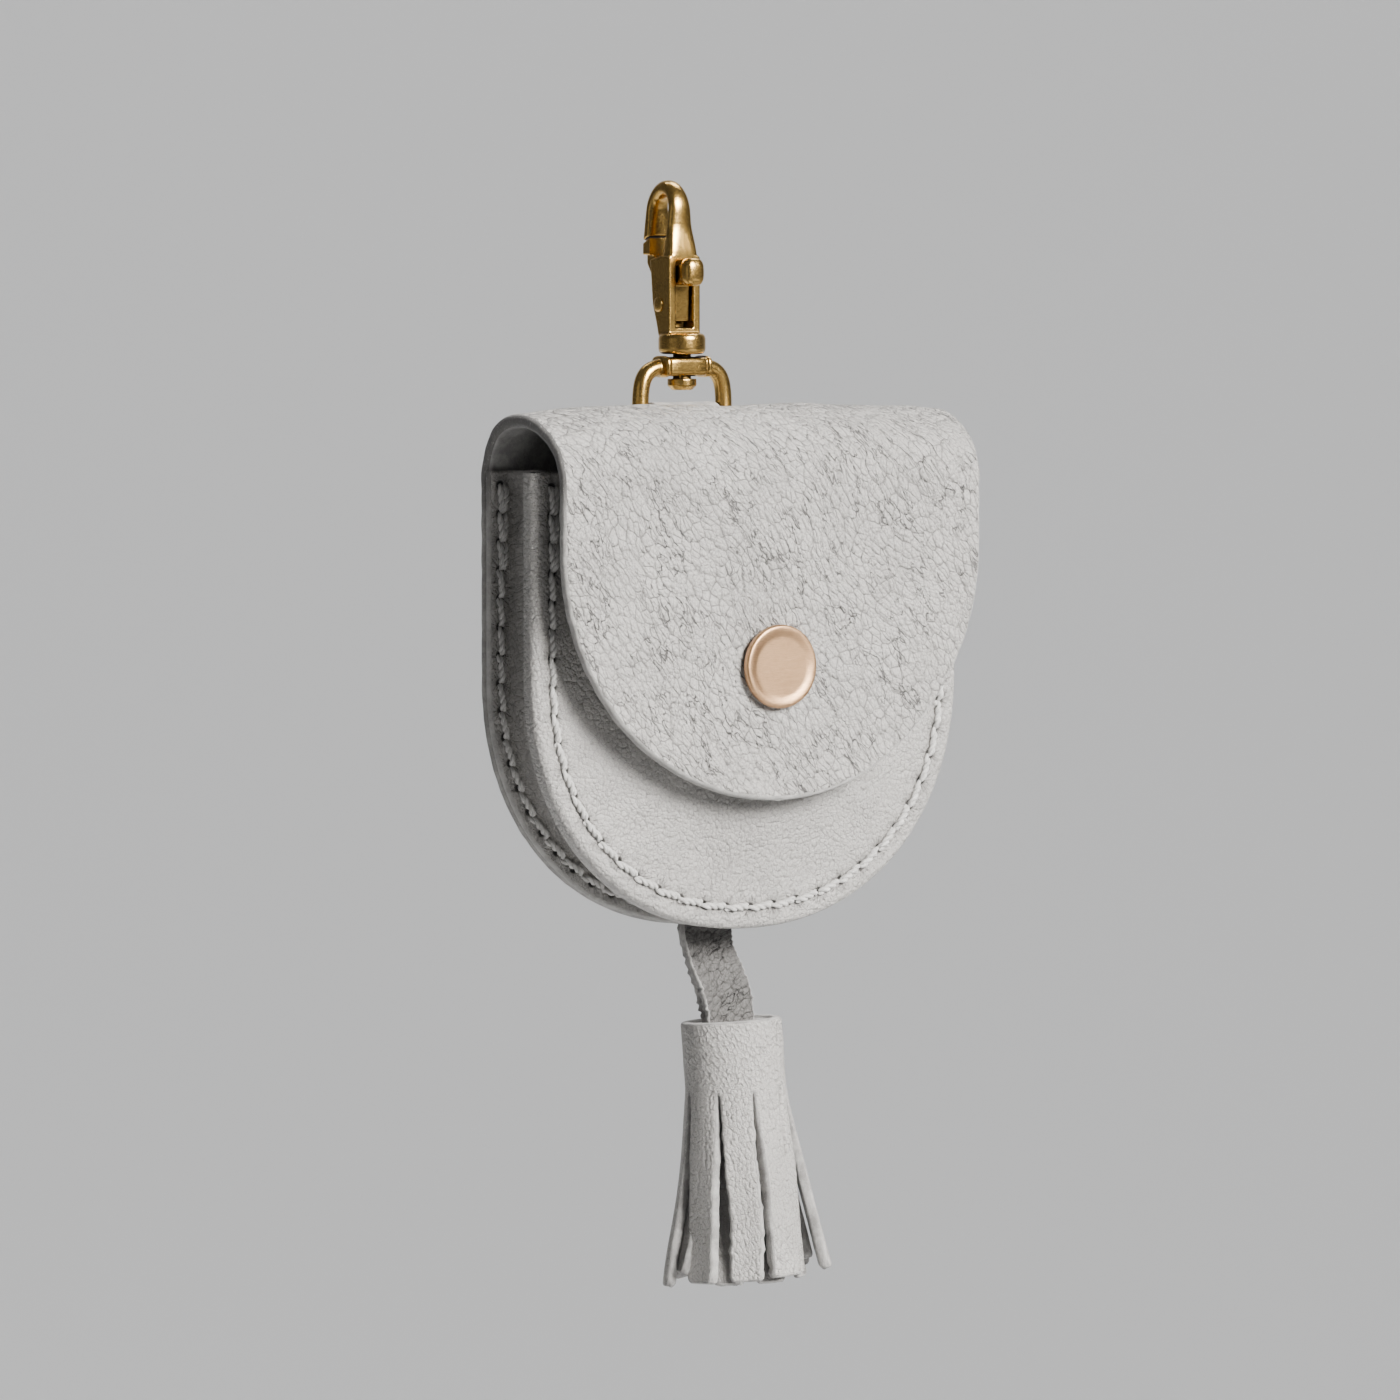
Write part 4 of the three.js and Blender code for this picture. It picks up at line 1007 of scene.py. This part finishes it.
# Strip edges as degrees round the head from the side that the camera sees, then each strip's
# outward splay at its tip, length as a share, and sideways drift in millimetres.
OUTER_EDGES = [-67, -21, 20.4, 83, 117, 150, 186, 222, 258, 293]
OUTER_STRIPS = [(3.0, 0.985, -0.2), (1.8, 0.985, 0.2), (1.8, 0.975, -0.6), (5.9, 0.97, 0.3), (4.4, 0.96, 0.0),
                (3.0, 0.98, -0.3), (3.4, 0.97, 0.4), (4.6, 0.98, 0.2), (5.6, 1.0, 0.3)]
PART_SLIT = {2: (63, 12.5)}
INNER_EDGES = [-95, -48, 0, 50, 98, 140, 185, 230, 265]
INNER_STRIPS = [(5.4, 0.985, 0.2), (2.2, 1.05, 0.1), (1.2, 1.055, 0.2), (2.6, 1.045, 0.0), (5.6, 0.97, 0.2),
                (2.6, 0.97, -0.2), (2.0, 0.99, 0.3), (4.1, 0.97, 0.1)]
CORE_EDGES = [-60, 30, 120, 210, 300]
CORE_STRIPS = [(1.1, 1.0, 0.3), (1.8, 0.99, 0.5), (0.6, 1.005, -0.4), (1.0, 0.99, 0.2)]


def around(degrees, radius):
    angle = np.radians(degrees)[..., None]
    return (np.cos(angle) * VIEW_OUT + np.sin(angle) * VIEW_RIGHT) * np.asarray(radius)[..., None]


def steps_across(edges, radius, slits):
    """For each strip, the places across it where its grid has columns."""
    rim = np.array([0.0, 0.06, 0.16, 0.32, 0.55])
    per = []
    for at, (left, right) in enumerate(zip(edges[:-1], edges[1:])):
        arc = math.radians(right - left) * radius
        inner = np.linspace(rim[-1], arc - rim[-1], max(6, int(arc / 0.6)))[1:-1]
        if at in slits:
            cut = math.radians(slits[at][0] - left) * radius
            near = cut + np.array([-0.55, -0.34, -0.2, -0.09, 0.0, 0.09, 0.2, 0.34, 0.55])
            inner = np.sort(np.concatenate([inner[np.abs(inner - cut) > 0.7], near]))
        per.append(np.concatenate([rim, inner, (arc - rim)[::-1]]))
    return per


def band(shells, edges, radius, per):
    """The uncut head above the strips."""
    levels = np.concatenate([[0.0, 0.06, 0.16, 0.32, 0.55], np.linspace(0.9, HEAD_HEIGHT, 18)])
    angles = np.unique(np.concatenate([left + across / radius * 180 / math.pi
                                       for left, across in zip(edges[:-1], per)]).round(6))
    angles[-1] = angles[0] + 360
    s = np.repeat(levels[:, None], len(angles), 1)
    a = np.repeat(angles[None, :], len(levels), 0)
    wave = Ripple(9.0)
    drift = 0.10 * wave(np.radians(a) * radius, s) * (1 - smoothstep(s, 5.0, 9.5))
    drift = drift * np.minimum(1, np.minimum(a - angles[0], angles[-1] - a) / 20)
    half = eased(s, STRIP / 2, 0.5)
    half[s > 2] = STRIP / 2
    down = np.array([0, 0, 1]) * s[..., None]
    face = around(a, radius + half + drift * 0.4) - down
    back = around(a, radius - half) - down
    face[:, -1], back[:, -1] = face[:, 0], back[:, 0]
    shells.wall(face, back, np.stack([np.radians(a) * radius, s], -1), s, (False, False, True, False))


def strip(shells, left, right, radius, across, shape, slit, outer):
    """One strip, flatter and further out the lower it hangs. A slit is its angle and its depth."""
    splay, share, drift = shape
    reach = STRIP_LENGTH * share
    middle = (left + right) / 2
    arc = math.radians(right - left) * radius
    levels = np.concatenate([np.linspace(0, 1.2, 6)[:-1], np.linspace(1.2, reach - 1.6, 34)[:-1],
                             reach - np.array([1.6, 1.2, 0.85, 0.55, 0.32, 0.16, 0.06, 0.0])])
    s = np.repeat(levels[:, None], len(across), 1)
    w = np.repeat(across[None, :] - arc / 2, len(levels), 0)
    corner = 0.8
    past = np.clip(corner - (reach - s), 0, corner)
    limit = arc / 2 - corner + np.sqrt(np.maximum(corner ** 2 - past ** 2, 0))
    slim = 1 - 0.02 * smoothstep(s, 0.0, 1.5) + 0.06 * s / STRIP_LENGTH
    w = w / (arc / 2) * limit * slim
    inset = np.where(past > 0, corner - np.hypot(np.maximum(np.abs(w) - arc / 2 + corner, 0), past),
                     limit * slim - np.abs(w))
    inset = np.maximum(inset, 0)

    # It flattens, splays, sways and curls on its way down
    down = s / reach
    flatten = smoothstep(s, 1.0, 14.0) * 0.8
    angle = w / radius
    flat_out = radius * (np.cos(angle) - 1) * (1 - flatten)
    flat_side = radius * np.sin(angle) * (1 - flatten) + w * flatten
    jag = Ripple(0.9)
    bow = Ripple(16.0)
    own = random.uniform(0, 50)
    sway = 0.9 * bow(s + own, s * 0) * down ** 1.2
    curl = 0.35 * bow(s * 0.6 + own + 30, s * 0) * down * (w / (arc / 2)) ** 2
    tip = 0.25 * (w / (arc / 2)) * down * math.sin(own)
    out_shift = splay * down ** 1.25 + sway * 0.35 + curl + tip
    side_shift = drift * down + 0.25 * sway
    flat_side = flat_side + np.sign(w) * 0.10 * jag(s, w * 0) * np.exp(-inset / 0.5) * smoothstep(s, 0.5, 2.0)
    out = around(np.full(s.shape, float(middle)), np.ones(s.shape))
    side = around(np.full(s.shape, float(middle) + 90), np.ones(s.shape))
    head = HEAD_HEIGHT if outer else HEAD_HEIGHT - 1.5
    centre = out * (radius + flat_out + out_shift)[..., None] + side * (flat_side + side_shift)[..., None]
    centre = centre - np.array([0, 0, 1]) * (s + head)[..., None]

    # Its two faces, which start square with the band and are rounded at the cut edges
    normal = normals_of(centre)
    normal *= np.sign((normal * out).sum(-1, keepdims=True))
    if outer:
        exact = around(middle + np.degrees(angle), np.ones(s.shape))
        blend = smoothstep(s, 0, 1.0)[..., None]
        normal = unit(exact * (1 - blend) + normal * blend)
    half = eased(np.where(s < 1.2, np.maximum(inset, 0.8 - s * 0.6), inset), STRIP / 2, 0.5)
    inner_half = np.maximum(half, STRIP * 0.2)
    if slit:
        cut = math.radians(slit[0] - middle) * radius
        groove = np.exp(-((w - cut * limit / (arc / 2)) / 0.24) ** 2)
        groove = groove * (1 - smoothstep(s, slit[1] - 2.0, slit[1]))
        half = half - 1.5 * groove * smoothstep(s, 0.0, 0.9)
        inner_half = np.full(s.shape, STRIP / 2)
    face = centre + normal * half[..., None]
    back = centre - normal * inner_half[..., None]
    grain = np.stack([np.radians(middle) * radius + w, s + HEAD_HEIGHT], -1)
    # Inner turns take slot 3, the darker grain that paints their shade.
    shells.wall(face, back, grain, np.where(s < 0.3, 1.0, inset), (True, True, not outer, True), 0 if outer else 3)


def wrap(shells, edges, strips, radius, slits=None):
    """One turn of the roll. The outer turn is the one with slits: it has a band above its strips."""
    outer = slits is not None
    slits = slits or {}
    per = steps_across(edges, radius, slits)
    if outer:
        band(shells, edges, radius, per)
    for at, shape in enumerate(strips):
        strip(shells, edges[at], edges[at + 1], radius, per[at], shape, slits.get(at), outer)


def head_top(shells):
    """The rolled end inside the outermost turn, with its spiral joint line."""
    radii = np.linspace(0.0, HEAD_RADIUS - STRIP - 0.02, 34)
    r, a = np.meshgrid(radii, np.linspace(0, 360, 73), indexing="ij")
    turn = (r - STRIP * a / 360.0) / STRIP
    joint = np.exp(-((turn - np.round(turn)) * STRIP / 0.14) ** 2)
    level = -0.35 - 0.30 * joint * smoothstep(r, 0.2, 1.0)
    face = around(a, r) + np.array([0, 0, 1]) * level[..., None]
    back = around(a, r) + np.array([0, 0, 1 - HEAD_HEIGHT])
    face[:, -1], back[:, -1] = face[:, 0], back[:, 0]
    face[0], back[0] = face[0, 0], back[0, 0]
    shells.wall(face, back, np.stack([np.radians(a) * 4, r], -1), np.zeros_like(r), (False, False, False, True))


shells = Shells()
wrap(shells, OUTER_EDGES, OUTER_STRIPS, HEAD_RADIUS - STRIP / 2, PART_SLIT)
wrap(shells, INNER_EDGES, INNER_STRIPS, HEAD_RADIUS - STRIP * 1.5 - 0.15)
wrap(shells, CORE_EDGES, CORE_STRIPS, HEAD_RADIUS - STRIP * 2.5 - 0.3)
head_top(shells)
tassel = shells.piece("rolled_tassel", [tassel_skin, flesh, pale_edge, shaded_inner_skin])
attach(tassel, "pouch")
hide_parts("tassel")


# Snap

def turned(name, profile, material, sides=120):
    """A body turned about the snap's axis from rows of radius and Y."""
    profile = np.asarray(profile, float)
    angle = np.linspace(0, 2 * math.pi, sides + 1)
    r, a = np.meshgrid(profile[:, 0], angle, indexing="ij")
    grid = np.stack([r * np.cos(a), np.repeat(profile[:, 1:2], sides + 1, 1), SNAP_Z + r * np.sin(a)], -1)
    grid[:, -1] = grid[:, 0]
    grid[0], grid[-1] = grid[0, 0], grid[-1, 0]
    quads = grid_quads(*grid.shape[:2])
    grain = np.stack([r * np.cos(a), r * np.sin(a)], -1).reshape(-1, 2)
    return mesh_piece(name, grid.reshape(-1, 3), quads, [material], np.zeros(len(quads), int),
                      (("grain", grain),), weld=True)


def cap_profile():
    """A shallow dish inside a rolled rim, with a skirt on the leather and a post through it."""
    face, radius, dish = FLAP_FACE - 1.85, 6.35, 0.20
    post, end = 1.7, FLAP_FACE + HIDE + 1.3
    rows = [(r, face + dish) for r in np.linspace(0, 4.4, 12)]
    rows += [(r, face + dish * (1 + math.cos(math.pi * (r - 4.4) / 1.4)) / 2) for r in np.linspace(4.55, 5.8, 9)]
    rows += [(radius - 0.38 + 0.38 * math.sin(a), face + 0.42 * (1 - math.cos(a)))
             for a in np.linspace(0.15, math.pi / 2, 8)]
    rows += [(radius, face + 0.95), (radius - 0.12, face + 1.25), (radius - 0.45, face + 1.5),
             (radius - 0.7, face + 1.6)]
    return rows + [(post, face + 1.6), (post, end), (0, end)]


cap = turned("snap_face", cap_profile(), cap_face)
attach(cap, "pouch")
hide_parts("snap_cap")
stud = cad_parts["snap_stud"]
stud.data.materials.clear()
stud.data.materials.append(copper)


# The clasp, cast: smooth skins drawn over plain shapes

def raw_mesh(parts):
    """One mesh in millimetres from parts of points and faces, in the swivel frame."""
    points, faces, count = [], [], 0
    for part_points, part_faces in parts:
        points += np.asarray(part_points, float).tolist()
        faces += [[i + count for i in face] for face in part_faces]
        count += len(part_points)
    mesh = bpy.data.meshes.new("raw")
    mesh.from_pydata(points, [], faces)
    return mesh


def node_part(name):
    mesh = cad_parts[name].data
    points = np.empty(len(mesh.vertices) * 3)
    mesh.vertices.foreach_get("co", points)
    return points.reshape(-1, 3) / MM - SWIVEL, [list(face.vertices) for face in mesh.polygons]


def skinned(name, parts, material, voxel, rounds):
    """A cast piece: one even skin over overlapping parts, smoothed in some rounds."""
    mesh = raw_mesh(parts)
    work = bmesh.new()
    work.from_mesh(mesh)
    bmesh.ops.remove_doubles(work, verts=work.verts, dist=1e-4)
    bmesh.ops.recalc_face_normals(work, faces=work.faces)
    work.to_mesh(mesh)
    work.free()
    rough = placed("rough", mesh)
    remesh = rough.modifiers.new("skin", "REMESH")
    remesh.mode = "VOXEL"
    remesh.voxel_size = voxel
    smooth = rough.modifiers.new("soft", "SMOOTH")
    smooth.factor = 0.5
    smooth.iterations = rounds
    graph = bpy.context.evaluated_depsgraph_get()
    final = bpy.data.meshes.new_from_object(rough.evaluated_get(graph))
    bpy.data.objects.remove(rough)
    final.name = name
    final.transform(Matrix.Translation(Vector(SWIVEL.tolist()) * MM) @ Matrix.Scale(MM, 4))
    final.materials.clear()
    final.materials.append(material)
    final.polygons.foreach_set("use_smooth", np.ones(len(final.polygons), dtype=bool))
    return placed(name, final)


def tube_part(route, radius, sides=24):
    tubes = Tubes()
    tubes.add(route, radius, sides)
    return tubes.points[0], [list(dict.fromkeys(quad)) for quad in tubes.quads[0].tolist()]


def powered(value, power):
    return math.copysign(abs(value) ** (2 / power), value)


def cushion(centre, half, power, rows=28, columns=48):
    """A rounded block between a box and an ellipsoid."""
    points, faces = [], []
    for i in range(rows + 1):
        v = -math.pi / 2 + math.pi * i / rows
        for j in range(columns):
            u = 2 * math.pi * j / columns
            points.append((centre[0] + half[0] * powered(math.cos(v), power) * powered(math.cos(u), power),
                           centre[1] + half[1] * powered(math.cos(v), power) * powered(math.sin(u), power),
                           centre[2] + half[2] * powered(math.sin(v), power)))
    for i in range(rows):
        for j in range(columns):
            k = (j + 1) % columns
            faces.append([i * columns + j, i * columns + k, (i + 1) * columns + k, (i + 1) * columns + j])
    return points, faces


def prism(outline_points, high, low=None):
    """A flat part drawn in Y and Z, between two levels of X."""
    count = len(outline_points)
    low = -high if low is None else low
    points = [(x, y, z) for x in (low, high) for y, z in outline_points]
    faces = [list(range(count)), list(range(2 * count - 1, count - 1, -1))]
    faces += [[k, (k + 1) % count, count + (k + 1) % count, count + k] for k in range(count)]
    return points, faces


def swept(rows, steps=32, closed=False):
    """A skin through rings, each with two end points in Y and Z, a half width and a squareness."""
    points, faces = [], []
    for (y1, z1), (y2, z2), half, power in rows:
        for k in range(steps):
            a = 2 * math.pi * k / steps
            share = 0.5 + 0.5 * powered(math.sin(a), power)
            points.append((half * powered(math.cos(a), power), y1 + (y2 - y1) * share, z1 + (z2 - z1) * share))
    for row in range(len(rows) - 1 + closed):
        for k in range(steps):
            ahead, turn = (row + 1) % len(rows), (k + 1) % steps
            faces.append([row * steps + k, row * steps + turn, ahead * steps + turn, ahead * steps + k])
    if not closed:
        faces += [list(range(steps))[::-1], list(range((len(rows) - 1) * steps, len(rows) * steps))]
    return points, faces


def claw_half(z):
    return 2.85 * float(np.interp(z, [-12, -9, -4.5, 0, 3.6], [1.0, 0.90, 0.74, 0.60, 0.48]))


def claw_rows():
    """The claw from the top of the slot up over the crown and down to its tip."""
    inside, outside, turn_y, turn_z = 2.15, 4.05, 3.85, -2.15
    rows = []
    for z in np.linspace(-9.85, turn_z, 16):
        front = -0.8 + 0.6 * float(smoothstep(z, -9.0, -4.0))
        rows.append(((front, z), (1.7, z), claw_half(z), 2.3 + 3.2 * (1 - float(smoothstep(z, -9.5, -4.0)))))
    for a in np.linspace(math.pi, 0, 34)[1:-1]:
        crown = 4.75 * math.sin(a) + turn_z
        rows.append(((turn_y + outside * math.cos(a), crown),
                     (turn_y + inside * math.cos(a), inside * math.sin(a) + turn_z),
                     claw_half(max(crown, turn_z)), 2.3))
    for t in np.linspace(0, 1, 8):
        rows.append(((7.9, turn_z - 4.64 * t), (6.0, turn_z - 3.75 * t), claw_half(turn_z - 4 * t), 2.3 + 1.5 * t))
    return rows


def turned_part(rows, sides=48):
    """A body turned about the swivel's axis, from rows of radius and height."""
    return swept([((-radius, z), (radius, z), radius, 2.0) for radius, z in rows], sides)


PIN_Y, PIN_Z = 2.2, -16.5
CHEEK = [(-0.8, -21.2), (-0.8, -9.2), (1.7, -9.0), (4.7, -9.6), (4.4, -12.5), (4.0, -16.5), (3.0, -19.2),
         (2.4, -21.2)]
cheeks = [prism(CHEEK, 2.85, 1.6), prism(CHEEK, -1.6, -2.85)]
bridge = prism([(-0.8, -9.8), (-0.8, -9.0), (1.7, -9.0), (1.7, -9.8)], 2.6)
foot = prism([(-0.8, -21.2), (-0.8, -20.1), (2.4, -20.1), (2.4, -21.2)], 2.6)
spring = prism([(2.0, -20.3), (2.0, -18.75), (2.6, -18.75), (2.6, -20.3)], 1.7)
collar = turned_part([(2.85, -24.1), (3.25, -24.0), (3.52, -23.75), (3.65, -23.3), (3.65, -21.7), (3.52, -21.25),
                      (3.25, -21.0), (2.85, -20.9)])
body = skinned("cast_claw", [swept(claw_rows()), *cheeks, bridge, foot, spring, collar], brass, voxel=0.11,
               rounds=9)
lever = prism([(4.0, -16.1), (5.2, -14.15), (7.9, -10.2), (7.9, -7.14), (6.0, -6.22), (6.0, -9.2), (3.6, -12.3),
               (-0.4, -10.4), (-1.5, -10.4), (-1.5, -12.7), (-0.15, -13.5), (0.1, -19.0), (0.7, -19.1),
               (1.0, -17.6), (0.95, -16.3), (1.25, -15.7), (2.2, -15.4), (3.2, -15.7)], 1.28)
around_pin = [(math.cos(a), math.sin(a)) for a in np.linspace(0, 2 * math.pi, 33)[:-1]]
hub = swept([((PIN_Y + 0.95 * c, PIN_Z + 0.95 * d), (PIN_Y + 1.9 * c, PIN_Z + 1.9 * d), 1.28, 9.0)
             for c, d in around_pin], 20, closed=True)
gate_tip = prism([(6.0, -8.9), (7.9, -8.9), (7.9, -7.14), (6.0, -6.22)], 2.05)
knob = cushion((0, -2.85, -11.5), (1.75, 1.4, 2.2), 3.0)
neck = cushion((0, -1.5, -11.5), (1.15, 1.3, 1.4), 3.0)
gate = skinned("cast_gate", [lever, hub, gate_tip, knob, neck], brass, voxel=0.10, rounds=6)

WIRE = 1.3
EYE_HALF, EYE_Z = 7.2 / 2, -26.0
BAR_HALF = 12.7 / 2 + WIRE


def loop_route():
    """The wire from one side of the eye block, round the bar and back to the other side."""
    side = bezier((WIRE - EYE_HALF, 0, EYE_Z), (-BAR_HALF * 0.9, 0, EYE_Z), (-BAR_HALF, 0, EYE_Z - 1.3),
                  (-BAR_HALF, 0, BAR + 1.8), 24)
    bend = bezier((-BAR_HALF, 0, BAR + 1.8), (-BAR_HALF, 0, BAR + 0.6), (-BAR_HALF + 0.6, 0, BAR),
                  (-BAR_HALF + 1.8, 0, BAR), 12)
    half = np.concatenate([side, bend[1:]])
    return resampled(np.concatenate([half, half[::-1] * [-1, 1, 1]]), 0.35)


loop = skinned("cast_loop", [tube_part(loop_route(), WIRE), cushion((0, 0, EYE_Z), (4.1, 2.3, 1.5), 5.0),
                             cushion((-3.75, 0, EYE_Z), (0.55, 2.45, 1.68), 3.5),
                             cushion((3.75, 0, EYE_Z), (0.55, 2.45, 1.68), 3.5)],
               brass, voxel=0.12, rounds=6)
rivet = skinned("cast_rivet", [node_part("swivel_rivet")], brass, voxel=0.10, rounds=3)
pin = skinned("cast_pin", [node_part("gate_pin"), cushion((-2.9, PIN_Y, PIN_Z), (0.34, 1.15, 1.15), 2.3),
                           cushion((2.9, PIN_Y, PIN_Z), (0.34, 1.15, 1.15), 2.3)], brass, voxel=0.08, rounds=3)
for piece, node, body_name in ((body, "hook_body", "hook"), (gate, "hook_gate", "gate"),
                               (loop, "swivel_loop", "loop"), (rivet, "swivel_rivet", "hook"),
                               (pin, "gate_pin", "hook")):
    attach(piece, body_name)
    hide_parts(node)


# Stage, light and camera

AWAY, ACROSS = Vector((0.552, 0.834, 0.0)), Vector((0.834, -0.552, 0.0))


def stage():
    """A pale sheet of paper that runs back and bends up behind."""
    depth, height, bend, floor = 2.2, 2.2, 0.8, -0.42
    route = [(-2.5, floor)]
    route += [(depth - bend + bend * math.sin(a), floor + bend * (1 - math.cos(a)))
              for a in np.linspace(0, math.pi / 2, 24)]
    route += [(depth, height)]
    points = [tuple(AWAY * d + ACROSS * w + Vector((0, 0, z))) for d, z in route for w in (-4.0, 4.0)]
    faces = [(2 * k, 2 * k + 1, 2 * k + 3, 2 * k + 2) for k in range(len(route) - 1)]
    mesh = bpy.data.meshes.new("sweep")
    mesh.from_pydata(points, [], faces)
    mesh.materials.append(Graph("paper").finish(Base_Color=(0.86, 0.86, 0.86), Roughness=0.9,
                                                Specular_IOR_Level=0.1))
    mesh.polygons.foreach_set("use_smooth", np.ones(len(mesh.polygons), dtype=bool))
    sweep = placed("sweep", mesh)


def softbox(name, place, aim, size, power, colour=(1, 1, 1), spread=180):
    light = bpy.data.lights.new(name, "AREA")
    light.shape = "RECTANGLE"
    light.size, light.size_y = size
    light.energy = power
    light.color = colour
    light.spread = math.radians(spread)
    box = placed(name, light)
    box.location = place
    box.rotation_euler = (Vector(aim) - Vector(place)).to_track_quat("-Z", "Y").to_euler()


def studio():
    aim = Vector((0.002, -0.012, -0.08))
    softbox("key", aim + Vector((0.17, -0.87, 0.42)) * 1.25, aim, (0.62, 0.62), 5.0, (1.0, 0.985, 0.96), 40)
    softbox("bounce", aim + Vector((0.35, -0.85, -0.30)), aim, (0.7, 0.16), 0.6)
    softbox("low_bounce", aim + Vector((-0.06, -0.22, -0.20)), aim + Vector((0, 0.01, -0.02)), (0.20, 0.10), 0.13)
    softbox("fill", aim - AWAY * 0.9 - ACROSS * 0.9 + Vector((0, 0, 0.1)), aim, (0.8, 0.8), 0.55)
    softbox("rim", aim + AWAY * 0.5 + ACROSS * 0.25 + Vector((0, 0, 0.95)), aim, (0.4, 0.4), 3.0)
    softbox("wall_light", aim + AWAY * 0.7 + Vector((0, 0, 1.3)), aim + AWAY * 1.9, (1.6, 0.6), 22.0)
    world = bpy.data.worlds.new("studio")
    world.use_nodes = True
    sky = world.node_tree.nodes["Background"].inputs
    sky["Color"].default_value = (0.95, 0.97, 1.0, 1.0)
    sky["Strength"].default_value = 0.11
    bpy.context.scene.world = world


def camera():
    """A long lens 1.6 m away, with 0.2154 m across the picture at the pouch."""
    far, across = 1.6, 0.2154
    target = Vector((2.31, -5.38, -77.3)) * MM
    back = Vector((-0.551, -0.833, 0.049)).normalized()
    lens = bpy.data.cameras.new("camera")
    lens.sensor_width = 36.0
    lens.lens = lens.sensor_width * far / across
    lens.clip_start, lens.clip_end = 0.05, 20.0
    view = placed("camera", lens)
    view.location = target + back * far
    view.rotation_euler = (-back).to_track_quat("-Z", "Y").to_euler()
    bpy.context.scene.camera = view


stage()
studio()
camera()
